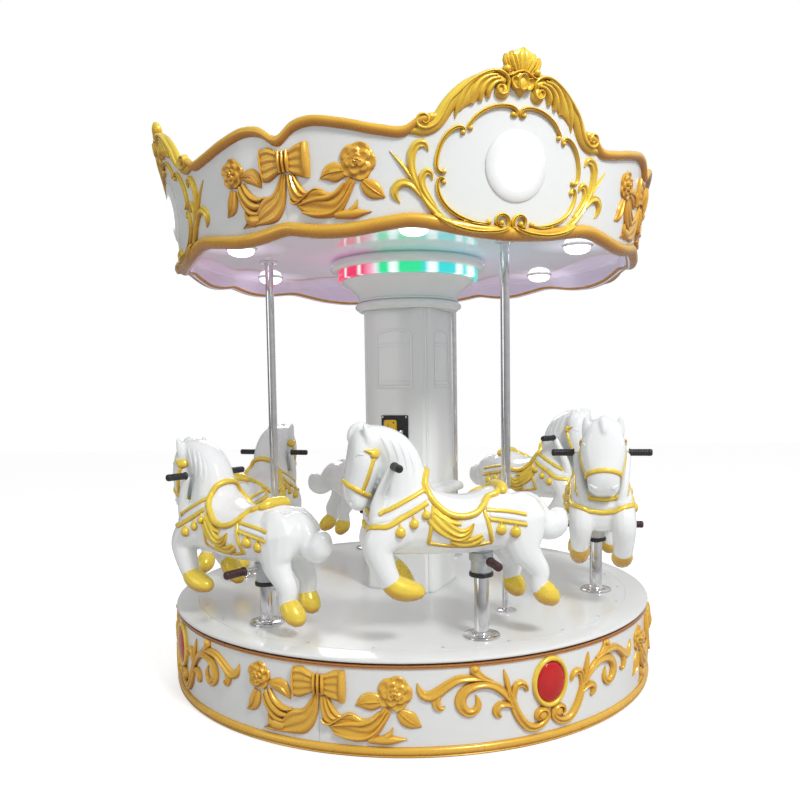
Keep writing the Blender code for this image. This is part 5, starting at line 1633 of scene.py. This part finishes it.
def hand_grip(inner, outer, radius, forward, height, side):
    """Rubber grip with a flange, shallow finger rings and a rounded end."""
    flange = radius * 1.12
    stations = [(inner, radius * 0.55), (inner, flange), (inner + 0.004, flange), (inner + 0.006, radius)]
    rings = 7
    groove = radius * 0.95
    for k in range(rings):
        y = inner + 0.012 + (outer - inner - 0.024) * k / rings
        stations += [(y, radius), (y + 0.0015, groove), (y + 0.0045, groove), (y + 0.006, radius)]
    stations += [(outer - 0.008, radius), (outer - 0.003, radius * 0.90), (outer - 0.0008, radius * 0.65),
                 (outer, radius * 0.25)]
    return cross_bar([(side * y, r) for y, r in stations], forward, height)


bar = cross_bar(((-0.196, 0.006), (0.196, 0.006)), BAR_FORWARD, BAR_HEIGHT, 16)
bar_mesh = shared_mesh("neck_bar", [bar], CHROME)
grips = [hand_grip(0.110, 0.2035, 0.0145, BAR_FORWARD, BAR_HEIGHT, side) for side in SIDES]
grips_mesh = shared_mesh("hand_grips", grips, RUBBER)


# Sleeves and posts: a grey steel sleeve bolted up inside the horse, with a rubber
# collar and two foot pegs, slides on a bright post that is screwed to the deck.
MAROON = plain_coat("maroon_rubber_finish", (0.040, 0.014, 0.018), (0.062, 0.022, 0.026), 0.45, 0.0, 60.0)
POST_FORWARD = -0.080
PEG_HEIGHT = 0.658
SLEEVE_BORE = 0.0288
# profiles of radius and height
SLEEVE = ((SLEEVE_BORE, 0.5975), (0.0400, 0.5975), (0.0400, 0.7400), (SLEEVE_BORE, 0.7400))
PEG_CLAMP = ((0.0402, 0.640), (0.046, 0.643), (0.046, 0.673), (0.0402, 0.676))
COLLAR = ((SLEEVE_BORE, 0.581), (0.044, 0.581), (0.046, 0.584), (0.046, 0.594), (0.044, 0.597),
          (SLEEVE_BORE, 0.597))
POST = ((0.004, DECK_TOP + SEAT_GAP), (0.070, DECK_TOP + SEAT_GAP), (0.070, 0.356), (0.068, 0.3585),
        (0.036, 0.3610), (0.033, 0.368), (0.028, 0.371), (0.028, 0.643), (0.026, 0.645), (0.004, 0.645))


def upright(profile, loop=False):
    """Piece turned about the post's axis from (radius, height) pairs."""
    return ring_skin([circle(r, z, 40, -POST_FORWARD) for r, z in profile], loop)


sleeve = [upright(profile, loop=True) for profile in (SLEEVE, PEG_CLAMP)]
sleeve_mesh = shared_mesh("peg_sleeve", sleeve, GREY_STEEL)
collar_mesh = shared_mesh("sleeve_collar", [upright(COLLAR, loop=True)], RUBBER)
pegs = [cross_bar(((side * 0.038, 0.008), (side * 0.2050, 0.008)), POST_FORWARD, PEG_HEIGHT, 16)
        for side in SIDES]
pegs_mesh = shared_mesh("foot_pegs", pegs, CHROME)
peg_grips = [hand_grip(0.1155, 0.212, 0.0160, POST_FORWARD, PEG_HEIGHT, side) for side in SIDES]
peg_grips_mesh = shared_mesh("peg_grips", peg_grips, MAROON)
post_mesh = shared_mesh("deck_post", [upright(POST)], CHROME)

# Where each horse stands: angle round the deck, lift, and turn out of the ring's
# direction; its castings and fittings ride together, and its post stays on the deck
HORSE_RING = 0.88
HORSE_PLACES = {
    "front": (12.0, 0.0, 0.0),
    "right": (72.0, 0.0, 8.0),
    "back_right": (132.0, 0.010, 0.0),
    "back": (192.0, -0.020, 0.0),
    "back_left": (252.0, -0.060, 0.0),
    "left": (312.0, -0.075, 12.0),
}
RIDING = (("horse_casting_", horse_mesh, "white_gelcoat", "horse_"),
          ("horse_hooves_", hoof_mesh, "gold_paint", None),
          ("horse_gold_tack_", tack_mesh, "gold_paint", None),
          ("horse_white_trim_", trim_mesh, "white_gelcoat", None),
          ("neck_bar_", bar_mesh, "chrome_tube", None),
          ("hand_grips_", grips_mesh, "black_grip", "handlebar_"),
          ("peg_sleeve_", sleeve_mesh, "grey_steel", "sleeve_"),
          ("sleeve_collar_", collar_mesh, "black_grip", None),
          ("foot_pegs_", pegs_mesh, "chrome_tube", None),
          ("peg_grips_", peg_grips_mesh, "black_grip", None))
for spot, (angle, lift, turned_out) in HORSE_PLACES.items():
    turn = Matrix.Rotation(radians(angle + turned_out), 4, "Z")
    raised_place = Matrix.Translation(polar(HORSE_RING, angle, lift)) @ turn
    for piece, mesh, slot, node in RIDING:
        mount(piece + spot, mesh, "rider_" + spot, slot, (node + spot,) if node else (), raised_place)
    deck_place = Matrix.Translation(polar(HORSE_RING, angle, 0.0)) @ turn
    mount("deck_post_" + spot, post_mesh, "turntable", "chrome_tube", ("post_" + spot,), deck_place)
